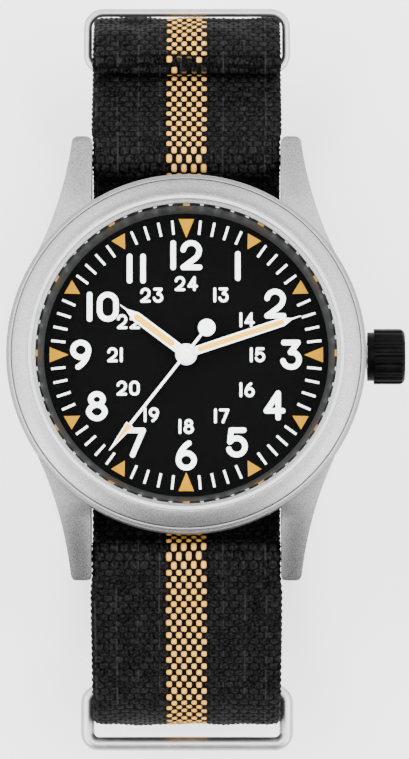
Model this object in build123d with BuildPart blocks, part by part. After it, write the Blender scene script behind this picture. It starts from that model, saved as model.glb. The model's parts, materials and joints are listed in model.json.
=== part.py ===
from build123d import *
from math import cos, radians, sin, sqrt, tan
import os

os.makedirs("parts", exist_ok=True)

# Driving dimensions in millimetres
case_radius = 19.05
lug_reach = 4.75
lug_to_lug = 2 * (case_radius + lug_reach)
lug_gap = 20.2
bezel_inset = 0.6
bezel_width = 2.1
ring_shelf = 1.25
bezel_radius = case_radius - bezel_inset
crystal_radius = bezel_radius - bezel_width
dial_view_radius = crystal_radius - ring_shelf
strap_width = 20.0
webbing = 1.1
wrist_height = 42.2
strap_reach_12 = 36.05
strap_reach_6 = 37.75
overrun = 1.0
fit_gap = 0.1
thin_gap = 0.05
fine_gap = 0.02

# Strap layers, counted outwards from the wrist
layer_gap = 0.1
layer_pitch = webbing + layer_gap
tail_pitch = 1.4
strip_z = wrist_height + webbing / 2
under_case_z = strip_z + layer_pitch

# Crown and keepers reach furthest, so they set where the dial axis stands over the base
crown_radius = 2.95
crown_length = 4.0
crown_standoff = 0.2
crown_start = case_radius + crown_standoff
crown_end = crown_start + crown_length
ring_wire = 1.5
ring_play = 1.4
ring_reach = strap_reach_6 + webbing / 2 + ring_play + ring_wire
keeper_wire = 0.9
keeper_clearance = 0.15
keeper_play = 0.44
tail_reach = strap_reach_12 + layer_pitch + tail_pitch + webbing / 2
keeper_reach = tail_reach + keeper_play + keeper_wire
dial_x = (case_radius - crown_end) / 2
dial_y = (ring_reach - keeper_reach) / 2
dial_axis = Axis((dial_x, dial_y, 0), (0, 0, 1))
turning_plane = Plane(origin=(dial_x, dial_y, 0), x_dir=(1, 0, 0), z_dir=(0, -1, 0))

# Heights through the watch head, from the case back up to the crystal
back_z = wrist_height + 2 * layer_pitch
back_flange = 0.55
back_plug = 0.25
case_bottom_z = back_z + back_flange + thin_gap
back_inside_z = back_z + back_flange + back_plug
movement_play = 0.4
train_room = 2.8
movement_height = 4.4
hand_room = 1.7
crystal_seat = 0.55
bezel_rise = 1.0
movement_z = back_inside_z + movement_play
main_plate_z = movement_z + train_room
main_plate_thickness = 0.8
dial_z = movement_z + movement_height
dial_thickness = 0.4
dial_top_z = dial_z + dial_thickness
case_top_z = dial_top_z + hand_room
crystal_z = case_top_z + crystal_seat
crystal_thickness = 1.4
bezel_top_z = crystal_z + bezel_rise
stem_z = main_plate_z

# Case middle: bore, shoulder and lugs
case_wall = 2.85
back_seat_width = 0.9
case_bore = case_radius - case_wall
back_radius = case_bore + back_seat_width
groove_wall = 0.2
gasket_groove_inner = case_bore + groove_wall
gasket_groove_outer = back_radius - groove_wall
gasket_height = 0.4
tube_radius = 1.25
case_shoulder = 0.35
case_taper = 1.0
case_taper_rise = 4.5
case_rim_rise = 0.7
case_rim_z = case_top_z + case_rim_rise
case_rim_inner = bezel_radius + fit_gap
lug_length = 13.1
lug_mid_inset = 6.8
lug_brow_inset = 8.3
lug_mid_width = 3.35
lug_tip_width = 2.1
lug_tip_round = 0.7
lug_tip_y = lug_to_lug / 2
lug_root_y = lug_tip_y - lug_length
lug_mid_y = lug_tip_y - lug_mid_inset
lug_brow_y = lug_tip_y - lug_brow_inset
lug_mid_x = lug_gap / 2 + lug_mid_width
lug_tip_x = lug_gap / 2 + lug_tip_width
lug_shoulder_drop = 0.3
lug_sole_chamfer = 0.8
lug_brow_drop = 0.9
lug_nose_rise = 3.2
lug_end_slant = 0.2
lug_sole_rise = 0.2
lug_shoulder_z = case_rim_z - lug_shoulder_drop
lug_brow_z = case_top_z - lug_brow_drop
lug_nose_z = back_z + lug_nose_rise
lug_sole_z = back_z + lug_sole_rise

# Spring bars
bar_inset = 2.6
bar_rise = 2.6
bar_y = lug_tip_y - bar_inset
bar_z = back_z + bar_rise
bar_radius = 0.75
bar_bore = 0.5
tip_travel = 0.95
tip_radius = 0.45
tip_start = 7.6
tip_flange_radius = 0.62
tip_flange = 0.25
pivot_radius = 0.38
pivot_hole_radius = 0.43
pivot_length = tip_travel
bar_half_length = lug_gap / 2 - tip_flange - tip_travel - fit_gap
spring_wire = 0.1
spring_radius = 0.32
spring_turns = 9

# Strap path
bar_clearance = 0.1
fold_flat = 0.01
wrap_radius = bar_radius + bar_clearance + webbing / 2
slope = radians(45)
shoulder_bend = 11.0
case_bend = 2.2
strip_bend = 6.0
strap_bottom_z = 2.9
bottom_bend = 19.3
fold_inset = 3.35
fold_y = strap_reach_12 - fold_inset
fold_bend = tail_pitch / 2 - fold_flat

# Buckle
frame_thickness = 2.2
frame_rail = 1.8
frame_play = 1.0
frame_inner_width = strap_width + frame_play
buckle_bar_y = 4.0
buckle_bar_radius = 0.75
crossbar_y = -9.0
crossbar_width = 2.6
loop_slack = 0.1
loop_radius = buckle_bar_radius + bar_clearance + webbing / 2
buckle_bar_z = strap_bottom_z + layer_pitch + loop_radius
hole_radius = 1.0
hole_pitch = 7.0
tongue_width = 1.2
tongue_hole_y = -0.6
tongue_play = 0.7
tongue_ring = 0.65
tongue_notch = 1.3
fixed_keeper_y = 10.5


def level(z):
    """Horizontal plane at height z, centred on the dial axis."""
    return Plane(origin=(dial_x, dial_y, z))


def across(x):
    """Upright plane facing +X, with local x along the strap and local y upwards."""
    return Plane(origin=(dial_x + x, dial_y, 0), x_dir=(0, 1, 0), z_dir=(1, 0, 0))


def at_angle(z, angle):
    """Horizontal plane whose local x points to a clock angle, in degrees from 12."""
    turn = radians(angle)
    return Plane(origin=(dial_x, dial_y, z), x_dir=(sin(turn), cos(turn), 0), z_dir=(0, 0, 1))


def save(piece, name):
    """Label a finished piece and write it."""
    piece.part.label = name
    export_step(piece.part, f"parts/{name}.step")


def disc(z, height, radius, bore=0, at=(0, 0), mode=Mode.ADD):
    """Flat disc or ring on the open part, from height z upwards."""
    with BuildSketch(level(z)) as face:
        with Locations(at):
            Circle(radius)
            if bore:
                Circle(bore, mode=Mode.SUBTRACT)
    extrude(face.sketch, amount=height, mode=mode)


def turned(*points, mode=Mode.ADD):
    """Ring turned about the dial axis from (radius, height) points."""
    with BuildSketch(turning_plane) as face:
        with BuildLine():
            Polyline(*points, close=True)
        make_face()
    revolve(face.sketch, axis=dial_axis, mode=mode)


def rod(x, length, radius, y, z, bore=0, mode=Mode.ADD):
    """Round rod along +X from x, or a tube if it has a bore."""
    with BuildSketch(across(x)) as face:
        with Locations((y, z)):
            Circle(radius)
            if bore:
                Circle(bore, mode=Mode.SUBTRACT)
    extrude(face.sketch, amount=length, mode=mode)


def block(x, y, z, size, mode=Mode.ADD):
    """Block centred on x and y that stands on height z."""
    with BuildSketch(level(z)) as face:
        with Locations((x, y)):
            Rectangle(size[0], size[1])
    extrude(face.sketch, amount=size[2], mode=mode)


# Case middle
with BuildPart() as case_middle:
    turned(
        (0, case_bottom_z),
        (case_radius - case_taper, case_bottom_z),
        (case_radius, case_bottom_z + case_taper_rise),
        (case_radius, case_rim_z - case_shoulder),
        (case_radius - case_shoulder, case_rim_z),
        (case_rim_inner, case_rim_z),
        (case_rim_inner, case_top_z),
        (0, case_top_z),
    )
    with BuildSketch(level(lug_sole_z)) as lug_plan:
        with BuildLine():
            lug_root_x = sqrt(case_radius**2 - lug_root_y**2)
            flank = ThreePointArc((lug_root_x, lug_root_y), (lug_mid_x, lug_mid_y), (lug_tip_x, lug_tip_y))
            Polyline(flank @ 1, (lug_gap / 2, lug_tip_y), (lug_gap / 2, lug_root_y), flank @ 0)
        make_face()
        fillet(lug_plan.vertices().sort_by(Axis.Y)[-2:], lug_tip_round)
        mirror(about=Plane.YZ)
        mirror(about=Plane.XZ)
    with BuildSketch(across(-case_radius)) as lug_side:
        with BuildLine():
            brow = ThreePointArc(
                (lug_root_y, lug_shoulder_z), (lug_brow_y, lug_brow_z), (lug_tip_y, lug_nose_z)
            )
            Polyline(
                brow @ 1,
                (lug_tip_y - lug_end_slant, lug_sole_z + lug_sole_chamfer),
                (lug_tip_y - lug_end_slant - lug_sole_chamfer, lug_sole_z),
                (lug_mid_y, lug_sole_z),
                (lug_root_y, case_bottom_z),
                brow @ 0,
            )
        make_face()
        mirror(about=Plane.YZ)
    lugs = extrude(lug_plan.sketch, amount=case_rim_z - lug_sole_z, mode=Mode.PRIVATE) & extrude(
        lug_side.sketch, amount=2 * case_radius, mode=Mode.PRIVATE
    )
    add(lugs)
    disc(
        lug_sole_z - overrun, case_bottom_z - lug_sole_z + overrun, back_radius + thin_gap,
        mode=Mode.SUBTRACT,
    )
    disc(case_bottom_z - overrun, case_rim_z - case_bottom_z + 2 * overrun, case_bore, mode=Mode.SUBTRACT)
    disc(case_top_z, case_rim_rise + overrun, case_rim_inner, mode=Mode.SUBTRACT)
    disc(
        case_bottom_z, gasket_height - thin_gap, gasket_groove_outer, gasket_groove_inner,
        mode=Mode.SUBTRACT,
    )
    rod(case_bore - overrun, case_radius + overrun - case_bore, tube_radius, 0, stem_z, mode=Mode.SUBTRACT)
    for side in (-1, 1):
        rod(
            -lug_gap / 2 - pivot_length - tip_flange, lug_gap + 2 * (pivot_length + tip_flange),
            pivot_hole_radius, side * bar_y, bar_z, mode=Mode.SUBTRACT,
        )
save(case_middle, "case_middle")

# Bezel, crystal and its gasket
crystal_gasket_wall = 0.35
crystal_seat_width = 0.4
bezel_bore = crystal_radius + crystal_gasket_wall
bezel_lip = crystal_radius - crystal_seat_width
bezel_land = 0.25
bezel_edge_drop = 0.7
crystal_bevel = 0.45
with BuildPart() as bezel:
    turned(
        (bezel_lip, case_top_z),
        (bezel_radius, case_top_z),
        (bezel_radius, bezel_top_z - bezel_edge_drop),
        (bezel_bore + bezel_land, bezel_top_z),
        (bezel_bore, bezel_top_z),
        (bezel_bore, crystal_z - thin_gap),
        (bezel_lip, crystal_z - thin_gap),
    )
save(bezel, "bezel")

with BuildPart() as crystal:
    turned(
        (0, crystal_z),
        (crystal_radius, crystal_z),
        (crystal_radius, crystal_z + crystal_thickness - crystal_bevel),
        (crystal_radius - crystal_bevel, crystal_z + crystal_thickness),
        (0, crystal_z + crystal_thickness),
    )
save(crystal, "crystal")

with BuildPart() as crystal_gasket:
    disc(crystal_z, bezel_top_z - crystal_z, bezel_bore, crystal_radius)
save(crystal_gasket, "crystal_gasket")

# Dial ring, dial and its print
dial_radius = case_bore - fit_gap
dial_centre_hole = 1.0
print_height = 0.06
numeral_height = 3.17
numeral_width = 2.3
numeral_stroke = 0.57
numeral_inset = 2.1
numeral_gap = 0.5
bar_numeral_gap = 0.86
small_height = 1.57
small_width = 1.1
small_stroke = 0.28
small_inset = 3.35
small_gap = 0.24
tick_inset = 0.7
tick_length = 1.5
tick_width = 0.25
marker_inset = 0.6
marker_length = 1.5
quarter_marker_length = 2.0
marker_width = 1.64
hours = 12
minutes = 60
tick_outer = dial_view_radius - tick_inset
tick_inner = tick_outer - tick_length
marker_outer = dial_view_radius - marker_inset
numeral_radius = tick_inner - numeral_inset
small_radius = numeral_radius - small_inset

with BuildPart() as dial_ring:
    turned(
        (dial_view_radius, dial_top_z),
        (dial_radius, dial_top_z),
        (dial_radius, case_top_z - thin_gap),
        (bezel_lip - thin_gap, case_top_z - thin_gap),
        (bezel_lip - thin_gap, crystal_z - thin_gap),
    )
save(dial_ring, "dial_ring")

with BuildPart() as dial:
    disc(dial_z, dial_thickness, dial_radius, dial_centre_hole)
save(dial, "dial")

# Each digit is drawn with a round pen inside a box of width 1 and height 1 about its middle.
# A stroke of two points is straight, and one of three points is an arc through them.
digit_stroke_shares = {
    "0": [
        [(-0.5, -0.17), (-0.5, 0.17)],
        [(0.5, -0.17), (0.5, 0.17)],
        [(-0.5, 0.17), (0, 0.5), (0.5, 0.17)],
        [(-0.5, -0.17), (0, -0.5), (0.5, -0.17)],
    ],
    "1": [[(0, -0.5), (0, 0.5)]],
    "2": [
        [(-0.5, 0.22), (0, 0.5), (0.48, 0.22)],
        [(0.48, 0.22), (0.42, 0.03), (0.24, -0.13)],
        [(0.24, -0.13), (-0.5, -0.5)],
        [(-0.5, -0.5), (0.5, -0.5)],
    ],
    "3": [
        [(-0.45, 0.5), (0.42, 0.5)],
        [(0.42, 0.5), (-0.04, 0.1)],
        [(-0.04, 0.1), (0.48, -0.2), (-0.02, -0.5)],
        [(-0.02, -0.5), (-0.34, -0.42), (-0.5, -0.25)],
    ],
    "4": [
        [(0.22, -0.5), (0.22, 0.5)],
        [(0.22, 0.5), (-0.5, -0.22)],
        [(-0.5, -0.22), (0.5, -0.22)],
    ],
    "5": [
        [(0.4, 0.5), (-0.36, 0.5)],
        [(-0.36, 0.5), (-0.44, 0.02)],
        [(-0.44, 0.02), (0.48, -0.17), (-0.06, -0.5)],
        [(-0.06, -0.5), (-0.34, -0.43), (-0.5, -0.28)],
    ],
    "6": [
        [(-0.48, -0.19), (0, 0.1), (0.48, -0.19)],
        [(0.48, -0.19), (0, -0.5), (-0.48, -0.19)],
        [(-0.48, -0.19), (-0.3, 0.19), (0.16, 0.5)],
    ],
    "7": [
        [(-0.5, 0.5), (0.48, 0.5)],
        [(0.48, 0.5), (-0.16, -0.5)],
    ],
    "8": [
        [(-0.38, 0.27), (0, 0.5), (0.38, 0.27)],
        [(0.38, 0.27), (0, 0.05), (-0.38, 0.27)],
        [(-0.5, -0.22), (0, 0.05), (0.5, -0.22)],
        [(0.5, -0.22), (0, -0.5), (-0.5, -0.22)],
    ],
    "9": [
        [(0.48, 0.19), (0, -0.1), (-0.48, 0.19)],
        [(-0.48, 0.19), (0, 0.5), (0.48, 0.19)],
        [(0.48, 0.19), (0.3, -0.19), (-0.16, -0.5)],
    ],
}


def digit(figure, centre, width, height, stroke):
    """One printed digit as a thin solid on the dial, drawn with a round pen."""
    box_width = width - stroke
    box_height = height - stroke
    with BuildSketch(level(dial_top_z)) as face:
        for points in digit_stroke_shares[figure]:
            places = [(centre[0] + x * box_width, centre[1] + y * box_height) for x, y in points]
            with BuildLine() as pen:
                Line(*places) if len(places) == 2 else ThreePointArc(*places)
            trace(pen.line, stroke)
            with Locations(places[0], places[-1]):
                Circle(stroke / 2)
    extrude(face.sketch, amount=print_height)


def number(value, x, y, width, height, stroke, gap, bar_gap):
    """Upright number centred on a place of the dial; the figure 1 is as wide as its stroke."""
    figures = str(value)
    widths = [stroke if figure == "1" else width for figure in figures]
    space = bar_gap if figures == "11" else gap
    left = x - (sum(widths) + space * (len(figures) - 1)) / 2
    for figure, own_width in zip(figures, widths):
        digit(figure, (left + own_width / 2, y), own_width, height, stroke)
        left += own_width + space


# How far out each number stands, as a share of its circle, from 12 and from 24 onwards
numeral_radius_shares = [0.985, 1.013, 1.01, 1.03, 1.0, 0.997, 0.992, 1.0, 1.013, 1.037, 0.948, 0.984]
small_radius_shares = [1.02, 0.99, 1.0, 1.015, 1.0, 1.01, 1.025, 0.99, 0.955, 1.015, 0.95, 0.985]
with BuildPart() as dial_numerals:
    for hour in range(hours):
        turn = radians(360 * hour / hours)
        out = numeral_radius * numeral_radius_shares[hour]
        number(
            hour if hour else hours, out * sin(turn), out * cos(turn),
            numeral_width, numeral_height, numeral_stroke, numeral_gap, bar_numeral_gap,
        )
        out = small_radius * small_radius_shares[hour]
        number(
            hour + hours if hour else 2 * hours, out * sin(turn), out * cos(turn),
            small_width, small_height, small_stroke, small_gap, small_gap,
        )
save(dial_numerals, "dial_numerals")

tick_middle = (tick_inner + tick_outer) / 2
with BuildPart() as minute_track:
    with BuildSketch(level(dial_top_z)):
        for minute in range(minutes):
            if minute % (minutes // hours):
                with PolarLocations(tick_middle, 1, start_angle=360 * minute / minutes):
                    Rectangle(tick_outer - tick_inner, tick_width)
    extrude(amount=print_height)
save(minute_track, "minute_track")

with BuildPart() as hour_markers:
    with BuildSketch(level(dial_top_z)):
        for hour in range(hours):
            reach = marker_length if hour % 3 else quarter_marker_length
            with PolarLocations(0, 1, start_angle=360 * hour / hours):
                Polygon(
                    (marker_outer, marker_width / 2), (marker_outer - reach, 0),
                    (marker_outer, -marker_width / 2), align=None,
                )
    extrude(amount=print_height)
save(hour_markers, "hour_markers")

# Case back, its gasket and the movement holder
back_notches = 6
back_notch_radius = 0.9
movement_radius = 13.2
holder_bore = movement_radius + fit_gap
holder_radius = case_bore - thin_gap
with BuildPart() as case_back:
    disc(back_z, back_flange, back_radius)
    disc(back_z + back_flange, back_plug, case_bore - fit_gap)
    chamfer(case_back.edges().sort_by(Axis.Z)[0], back_flange / 2)
    with BuildSketch(level(back_z)) as notches:
        with PolarLocations(back_radius, back_notches, start_angle=0):
            Circle(back_notch_radius)
    extrude(notches.sketch, amount=back_flange / 2, mode=Mode.SUBTRACT)
save(case_back, "case_back")

with BuildPart() as case_back_gasket:
    disc(back_z + back_flange, gasket_height, gasket_groove_outer - fine_gap, gasket_groove_inner + fine_gap)
save(case_back_gasket, "case_back_gasket")

# Crown, its tube, seal and stem
tube_bore = 0.75
tube_insert = 2.1
tube_start = case_bore + fit_gap
tube_end = crown_start + tube_insert
crown_cavity_radius = 1.75
crown_cavity_depth = 2.25
crown_neck_radius = 2.6
crown_neck = 0.7
crown_round = 0.6
flutes = 22
flute_radius = 0.32
stem_radius = 0.5
stem_square = 0.62
stem_inner_x = 6.9
stem_square_end_x = 9.4
stem_groove_x = 10.2
stem_groove = 0.6
stem_groove_radius = 0.25
seal_inset = 0.35
seal_start = crown_start + seal_inset
seal_length = 0.5
with BuildPart() as crown:
    rod(crown_start, crown_length, crown_radius, 0, stem_z)
    fillet(crown.edges().sort_by(Axis.X)[-1], crown_round)
    with BuildSketch(across(crown_start)) as waist:
        with Locations((0, stem_z)):
            Circle(crown_radius + overrun)
            Circle(crown_neck_radius, mode=Mode.SUBTRACT)
    extrude(waist.sketch, amount=crown_neck, mode=Mode.SUBTRACT)
    with BuildSketch(across(crown_start - overrun)) as grooves:
        with Locations((0, stem_z)):
            with PolarLocations(crown_radius + flute_radius / 3, flutes):
                Circle(flute_radius)
    extrude(grooves.sketch, amount=crown_length + overrun - crown_round / 2, mode=Mode.SUBTRACT)
    rod(
        crown_start - overrun, overrun + crown_cavity_depth, crown_cavity_radius, 0, stem_z,
        mode=Mode.SUBTRACT,
    )
    rod(crown_start, crown_length - crown_round, stem_radius, 0, stem_z, mode=Mode.SUBTRACT)
save(crown, "crown")

with BuildPart() as crown_seal:
    rod(seal_start, seal_length, crown_cavity_radius - thin_gap, 0, stem_z, tube_radius + thin_gap)
save(crown_seal, "crown_seal")

with BuildPart() as crown_tube:
    rod(tube_start, tube_end - tube_start, tube_radius, 0, stem_z, tube_bore)
save(crown_tube, "crown_tube")

with BuildPart() as stem:
    with BuildSketch(across(stem_inner_x)) as square:
        with Locations((0, stem_z)):
            Rectangle(stem_square, stem_square)
    extrude(square.sketch, amount=stem_square_end_x - stem_inner_x)
    rod(stem_square_end_x, stem_groove_x - stem_square_end_x, stem_radius, 0, stem_z)
    rod(stem_groove_x, stem_groove, stem_groove_radius, 0, stem_z)
    rod(
        stem_groove_x + stem_groove, crown_end - crown_round - stem_groove_x - stem_groove,
        stem_radius, 0, stem_z,
    )
save(stem, "stem")

# Hands
hand_thickness = 0.18
hour_hand_rise = 0.45
minute_hand_rise = 0.5
seconds_hand_rise = 0.45
hour_hand_z = dial_top_z + hour_hand_rise
minute_hand_z = hour_hand_z + minute_hand_rise
seconds_hand_z = minute_hand_z + seconds_hand_rise
hour_angle = 306.9
minute_angle = 71.6
seconds_angle = 218.3
needle_width = 0.2
seconds_arbor_radius = 0.15
cannon_bore = 0.22
cannon_radius = 0.45
hour_tube_bore = 0.52
hour_tube_radius = 0.85
hour_hub = 1.15
hour_width = 1.05
hour_shoulder = 6.7
hour_needle = 7.9
hour_tip = 8.75
hour_lume = (1.67, 6.85, 0.6)
minute_hub = 1.0
minute_width = 0.92
minute_shoulder = 10.8
minute_needle = 11.75
minute_tip = 12.8
minute_lume = (1.35, 10.9, 0.5)
seconds_hub = 0.65
seconds_collar_share = 0.7
seconds_width = 0.3
arrow_start = 9.6
arrow_width = 0.9
seconds_tip = 13.1
seconds_lume_end = 12.1
seconds_lume_width = 0.6
weight_distance = 3.5
weight_radius = 0.92
lume_proud = 0.03


def broad_hand(z, angle, hub, width, shoulder, needle, tip, bore, lume):
    """Flat hand with a slot for its filling, a shoulder and a needle end."""
    start, end, slot_width = lume
    with BuildSketch(at_angle(z, angle)) as face:
        Polygon(
            (0, width / 2), (shoulder, width / 2), (needle, needle_width / 2), (tip, needle_width / 4),
            (tip, -needle_width / 4), (needle, -needle_width / 2), (shoulder, -width / 2), (0, -width / 2),
            align=None,
        )
        Circle(hub)
        Circle(bore, mode=Mode.SUBTRACT)
        with Locations(((start + end) / 2, 0)):
            SlotOverall(end - start, slot_width, mode=Mode.SUBTRACT)
    extrude(face.sketch, amount=hand_thickness)


def hand_filling(z, angle, lume):
    """Luminous filling that lies in a hand's slot and stands a little proud of it."""
    start, end, slot_width = lume
    with BuildSketch(at_angle(z, angle)) as face:
        with Locations(((start + end) / 2, 0)):
            SlotOverall(end - start, slot_width)
    extrude(face.sketch, amount=hand_thickness + lume_proud)


with BuildPart() as hour_hand:
    broad_hand(
        hour_hand_z, hour_angle, hour_hub, hour_width, hour_shoulder, hour_needle, hour_tip,
        hour_tube_radius + fine_gap, hour_lume,
    )
save(hour_hand, "hour_hand")

with BuildPart() as hour_hand_lume:
    hand_filling(hour_hand_z, hour_angle, hour_lume)
save(hour_hand_lume, "hour_hand_lume")

with BuildPart() as minute_hand:
    broad_hand(
        minute_hand_z, minute_angle, minute_hub, minute_width, minute_shoulder, minute_needle, minute_tip,
        cannon_radius + fine_gap, minute_lume,
    )
save(minute_hand, "minute_hand")

with BuildPart() as minute_hand_lume:
    hand_filling(minute_hand_z, minute_angle, minute_lume)
save(minute_hand_lume, "minute_hand_lume")

arrow_lume_start = arrow_start + (arrow_width - seconds_lume_width) / 3
with BuildPart() as seconds_hand:
    with BuildSketch(at_angle(seconds_hand_z, seconds_angle)) as blade:
        with Locations(((arrow_start - weight_distance) / 2, 0)):
            Rectangle(arrow_start + weight_distance, seconds_width)
        Polygon(
            (arrow_start, arrow_width / 2), (seconds_tip, needle_width / 4),
            (seconds_tip, -needle_width / 4), (arrow_start, -arrow_width / 2), align=None,
        )
        Circle(seconds_hub)
        with Locations((-weight_distance, 0)):
            Circle(weight_radius)
        Circle(seconds_arbor_radius + fine_gap, mode=Mode.SUBTRACT)
        Polygon(
            (arrow_lume_start, seconds_lume_width / 2), (seconds_lume_end, 0),
            (arrow_lume_start, -seconds_lume_width / 2), align=None, mode=Mode.SUBTRACT,
        )
    extrude(blade.sketch, amount=hand_thickness)
    disc(
        seconds_hand_z, 2 * hand_thickness, seconds_hub * seconds_collar_share,
        seconds_arbor_radius + fine_gap,
    )
save(seconds_hand, "seconds_hand")

with BuildPart() as seconds_hand_lume:
    with BuildSketch(at_angle(seconds_hand_z, seconds_angle)):
        Polygon(
            (arrow_lume_start, seconds_lume_width / 2), (seconds_lume_end, 0),
            (arrow_lume_start, -seconds_lume_width / 2), align=None,
        )
    extrude(amount=hand_thickness + lume_proud)
save(seconds_hand_lume, "seconds_hand_lume")

# Wheels of the movement: tooth counts, then modules from the distance between arbors
fine_module = 0.1
rotor_module = 0.12
seconds_module = 0.13
centre_teeth = 64
third_teeth = 60
pinion_teeth = 8
seconds_teeth = 48
fifth_teeth = 30
rotor_teeth = 6
cannon_teeth = 12
minute_wheel_teeth = 36
minute_pinion_teeth = 10
hour_wheel_teeth = 40
setting_teeth = 24
third_distance = fine_module * (centre_teeth + pinion_teeth) / 2
third_module = 2 * third_distance / (third_teeth + pinion_teeth)
fifth_distance = seconds_module * (seconds_teeth + pinion_teeth) / 2
rotor_distance = rotor_module * (fifth_teeth + rotor_teeth) / 2
motion_distance = fine_module * (cannon_teeth + minute_wheel_teeth) / 2
hour_module = 2 * motion_distance / (minute_pinion_teeth + hour_wheel_teeth)
setting_distance = motion_distance + fine_module * (minute_wheel_teeth + setting_teeth) / 2
third_angle = 165
fifth_angle = 245
rotor_angle = 225
third_at = (third_distance * cos(radians(third_angle)), third_distance * sin(radians(third_angle)))
fifth_at = (fifth_distance * cos(radians(fifth_angle)), fifth_distance * sin(radians(fifth_angle)))
rotor_at = (
    fifth_at[0] + rotor_distance * cos(radians(rotor_angle)),
    fifth_at[1] + rotor_distance * sin(radians(rotor_angle)),
)
minute_wheel_at = (motion_distance, 0)
setting_at = (setting_distance, 0)
wheel_thickness = 0.15
arbor_radius = 0.2
bridge_rise = 0.55
bridge_z = movement_z + bridge_rise
bridge_thickness = 0.4
arbor_start = bridge_z + bridge_thickness + thin_gap
arbor_end = main_plate_z - thin_gap
seconds_wheel_rise = 1.05
fifth_wheel_rise = 1.35
third_wheel_rise = 1.9
centre_wheel_rise = 2.4
hour_wheel_rise = 0.35
seconds_wheel_z = movement_z + seconds_wheel_rise
fifth_wheel_z = movement_z + fifth_wheel_rise
third_wheel_z = movement_z + third_wheel_rise
centre_wheel_z = movement_z + centre_wheel_rise
motion_z = main_plate_z + main_plate_thickness + fit_gap
hour_wheel_z = motion_z + hour_wheel_rise
root_share = 0.9
tip_share = 0.45
tooth_foot_share = 0.8
tooth_end_share = 0.4


def gap_facing(angle, teeth):
    """Angle of a wheel's first tooth that leaves a gap between teeth at the given angle."""
    return angle + 180 / teeth


def gear(z, thickness, teeth, module, at=(0, 0), bore=0, phase=0):
    """Spur wheel with straight-sided teeth, the first of them at the angle called phase."""
    root = module * (teeth / 2 - root_share)
    tip = module * (teeth / 2 + tip_share)
    with BuildSketch(level(z)) as face:
        with Locations(at):
            Circle(root)
            with PolarLocations(0, teeth, start_angle=phase):
                Polygon(
                    (root - module, module * tooth_foot_share), (tip, module * tooth_end_share),
                    (tip, -module * tooth_end_share), (root - module, -module * tooth_foot_share),
                    align=None,
                )
            if bore:
                Circle(bore, mode=Mode.SUBTRACT)
    extrude(face.sketch, amount=thickness)


with BuildPart() as seconds_wheel:
    disc(arbor_start, seconds_hand_z + hand_thickness - arbor_start, seconds_arbor_radius)
    gear(seconds_wheel_z, wheel_thickness, seconds_teeth, seconds_module, phase=fifth_angle)
    gear(
        third_wheel_z - thin_gap, wheel_thickness + 2 * thin_gap, pinion_teeth, third_module,
        phase=gap_facing(third_angle, pinion_teeth),
    )
save(seconds_wheel, "seconds_wheel")

with BuildPart() as third_wheel:
    disc(arbor_start, arbor_end - arbor_start, arbor_radius, at=third_at)
    gear(third_wheel_z, wheel_thickness, third_teeth, third_module, at=third_at, phase=third_angle + 180)
    gear(
        centre_wheel_z - thin_gap, wheel_thickness + 2 * thin_gap, pinion_teeth, fine_module,
        at=third_at, phase=gap_facing(third_angle + 180, pinion_teeth),
    )
save(third_wheel, "third_wheel")

with BuildPart() as centre_wheel:
    disc(
        centre_wheel_z, minute_hand_z + hand_thickness + thin_gap - centre_wheel_z,
        cannon_radius, cannon_bore,
    )
    gear(
        centre_wheel_z, wheel_thickness, centre_teeth, fine_module,
        bore=cannon_bore, phase=third_angle,
    )
    gear(motion_z, wheel_thickness + thin_gap, cannon_teeth, fine_module, bore=cannon_bore)
save(centre_wheel, "centre_wheel")

with BuildPart() as fifth_wheel:
    disc(arbor_start, arbor_end - arbor_start, arbor_radius, at=fifth_at)
    gear(fifth_wheel_z, wheel_thickness, fifth_teeth, rotor_module, at=fifth_at, phase=rotor_angle)
    gear(
        seconds_wheel_z - thin_gap, wheel_thickness + 2 * thin_gap, pinion_teeth, seconds_module,
        at=fifth_at, phase=gap_facing(fifth_angle + 180, pinion_teeth),
    )
save(fifth_wheel, "fifth_wheel")

magnet_radius = 0.9
magnet_height = 0.7
magnet_rise = 0.2
magnet_z = fifth_wheel_z + wheel_thickness + magnet_rise
with BuildPart() as rotor:
    disc(arbor_start, arbor_end - arbor_start, seconds_arbor_radius, at=rotor_at)
    gear(
        fifth_wheel_z - thin_gap, wheel_thickness + 2 * thin_gap, rotor_teeth, rotor_module,
        at=rotor_at, phase=gap_facing(rotor_angle + 180, rotor_teeth),
    )
    disc(magnet_z, magnet_height, magnet_radius, at=rotor_at)
save(rotor, "rotor")

post_radius = 0.2
wheel_bore = 0.25
with BuildPart() as minute_wheel:
    gear(
        motion_z, wheel_thickness, minute_wheel_teeth, fine_module,
        at=minute_wheel_at, bore=wheel_bore, phase=gap_facing(180, minute_wheel_teeth),
    )
    gear(
        motion_z + wheel_thickness, hour_wheel_z + wheel_thickness + thin_gap - motion_z - wheel_thickness,
        minute_pinion_teeth, hour_module, at=minute_wheel_at, bore=wheel_bore,
        phase=gap_facing(180, minute_pinion_teeth),
    )
save(minute_wheel, "minute_wheel")

with BuildPart() as hour_wheel:
    disc(
        hour_wheel_z, hour_hand_z + hand_thickness + thin_gap - hour_wheel_z, hour_tube_radius,
        hour_tube_bore,
    )
    gear(hour_wheel_z, wheel_thickness, hour_wheel_teeth, hour_module, bore=hour_tube_bore)
save(hour_wheel, "hour_wheel")

with BuildPart() as setting_wheel:
    gear(
        motion_z, wheel_thickness, setting_teeth, fine_module,
        at=setting_at, bore=wheel_bore, phase=180,
    )
save(setting_wheel, "setting_wheel")

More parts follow.
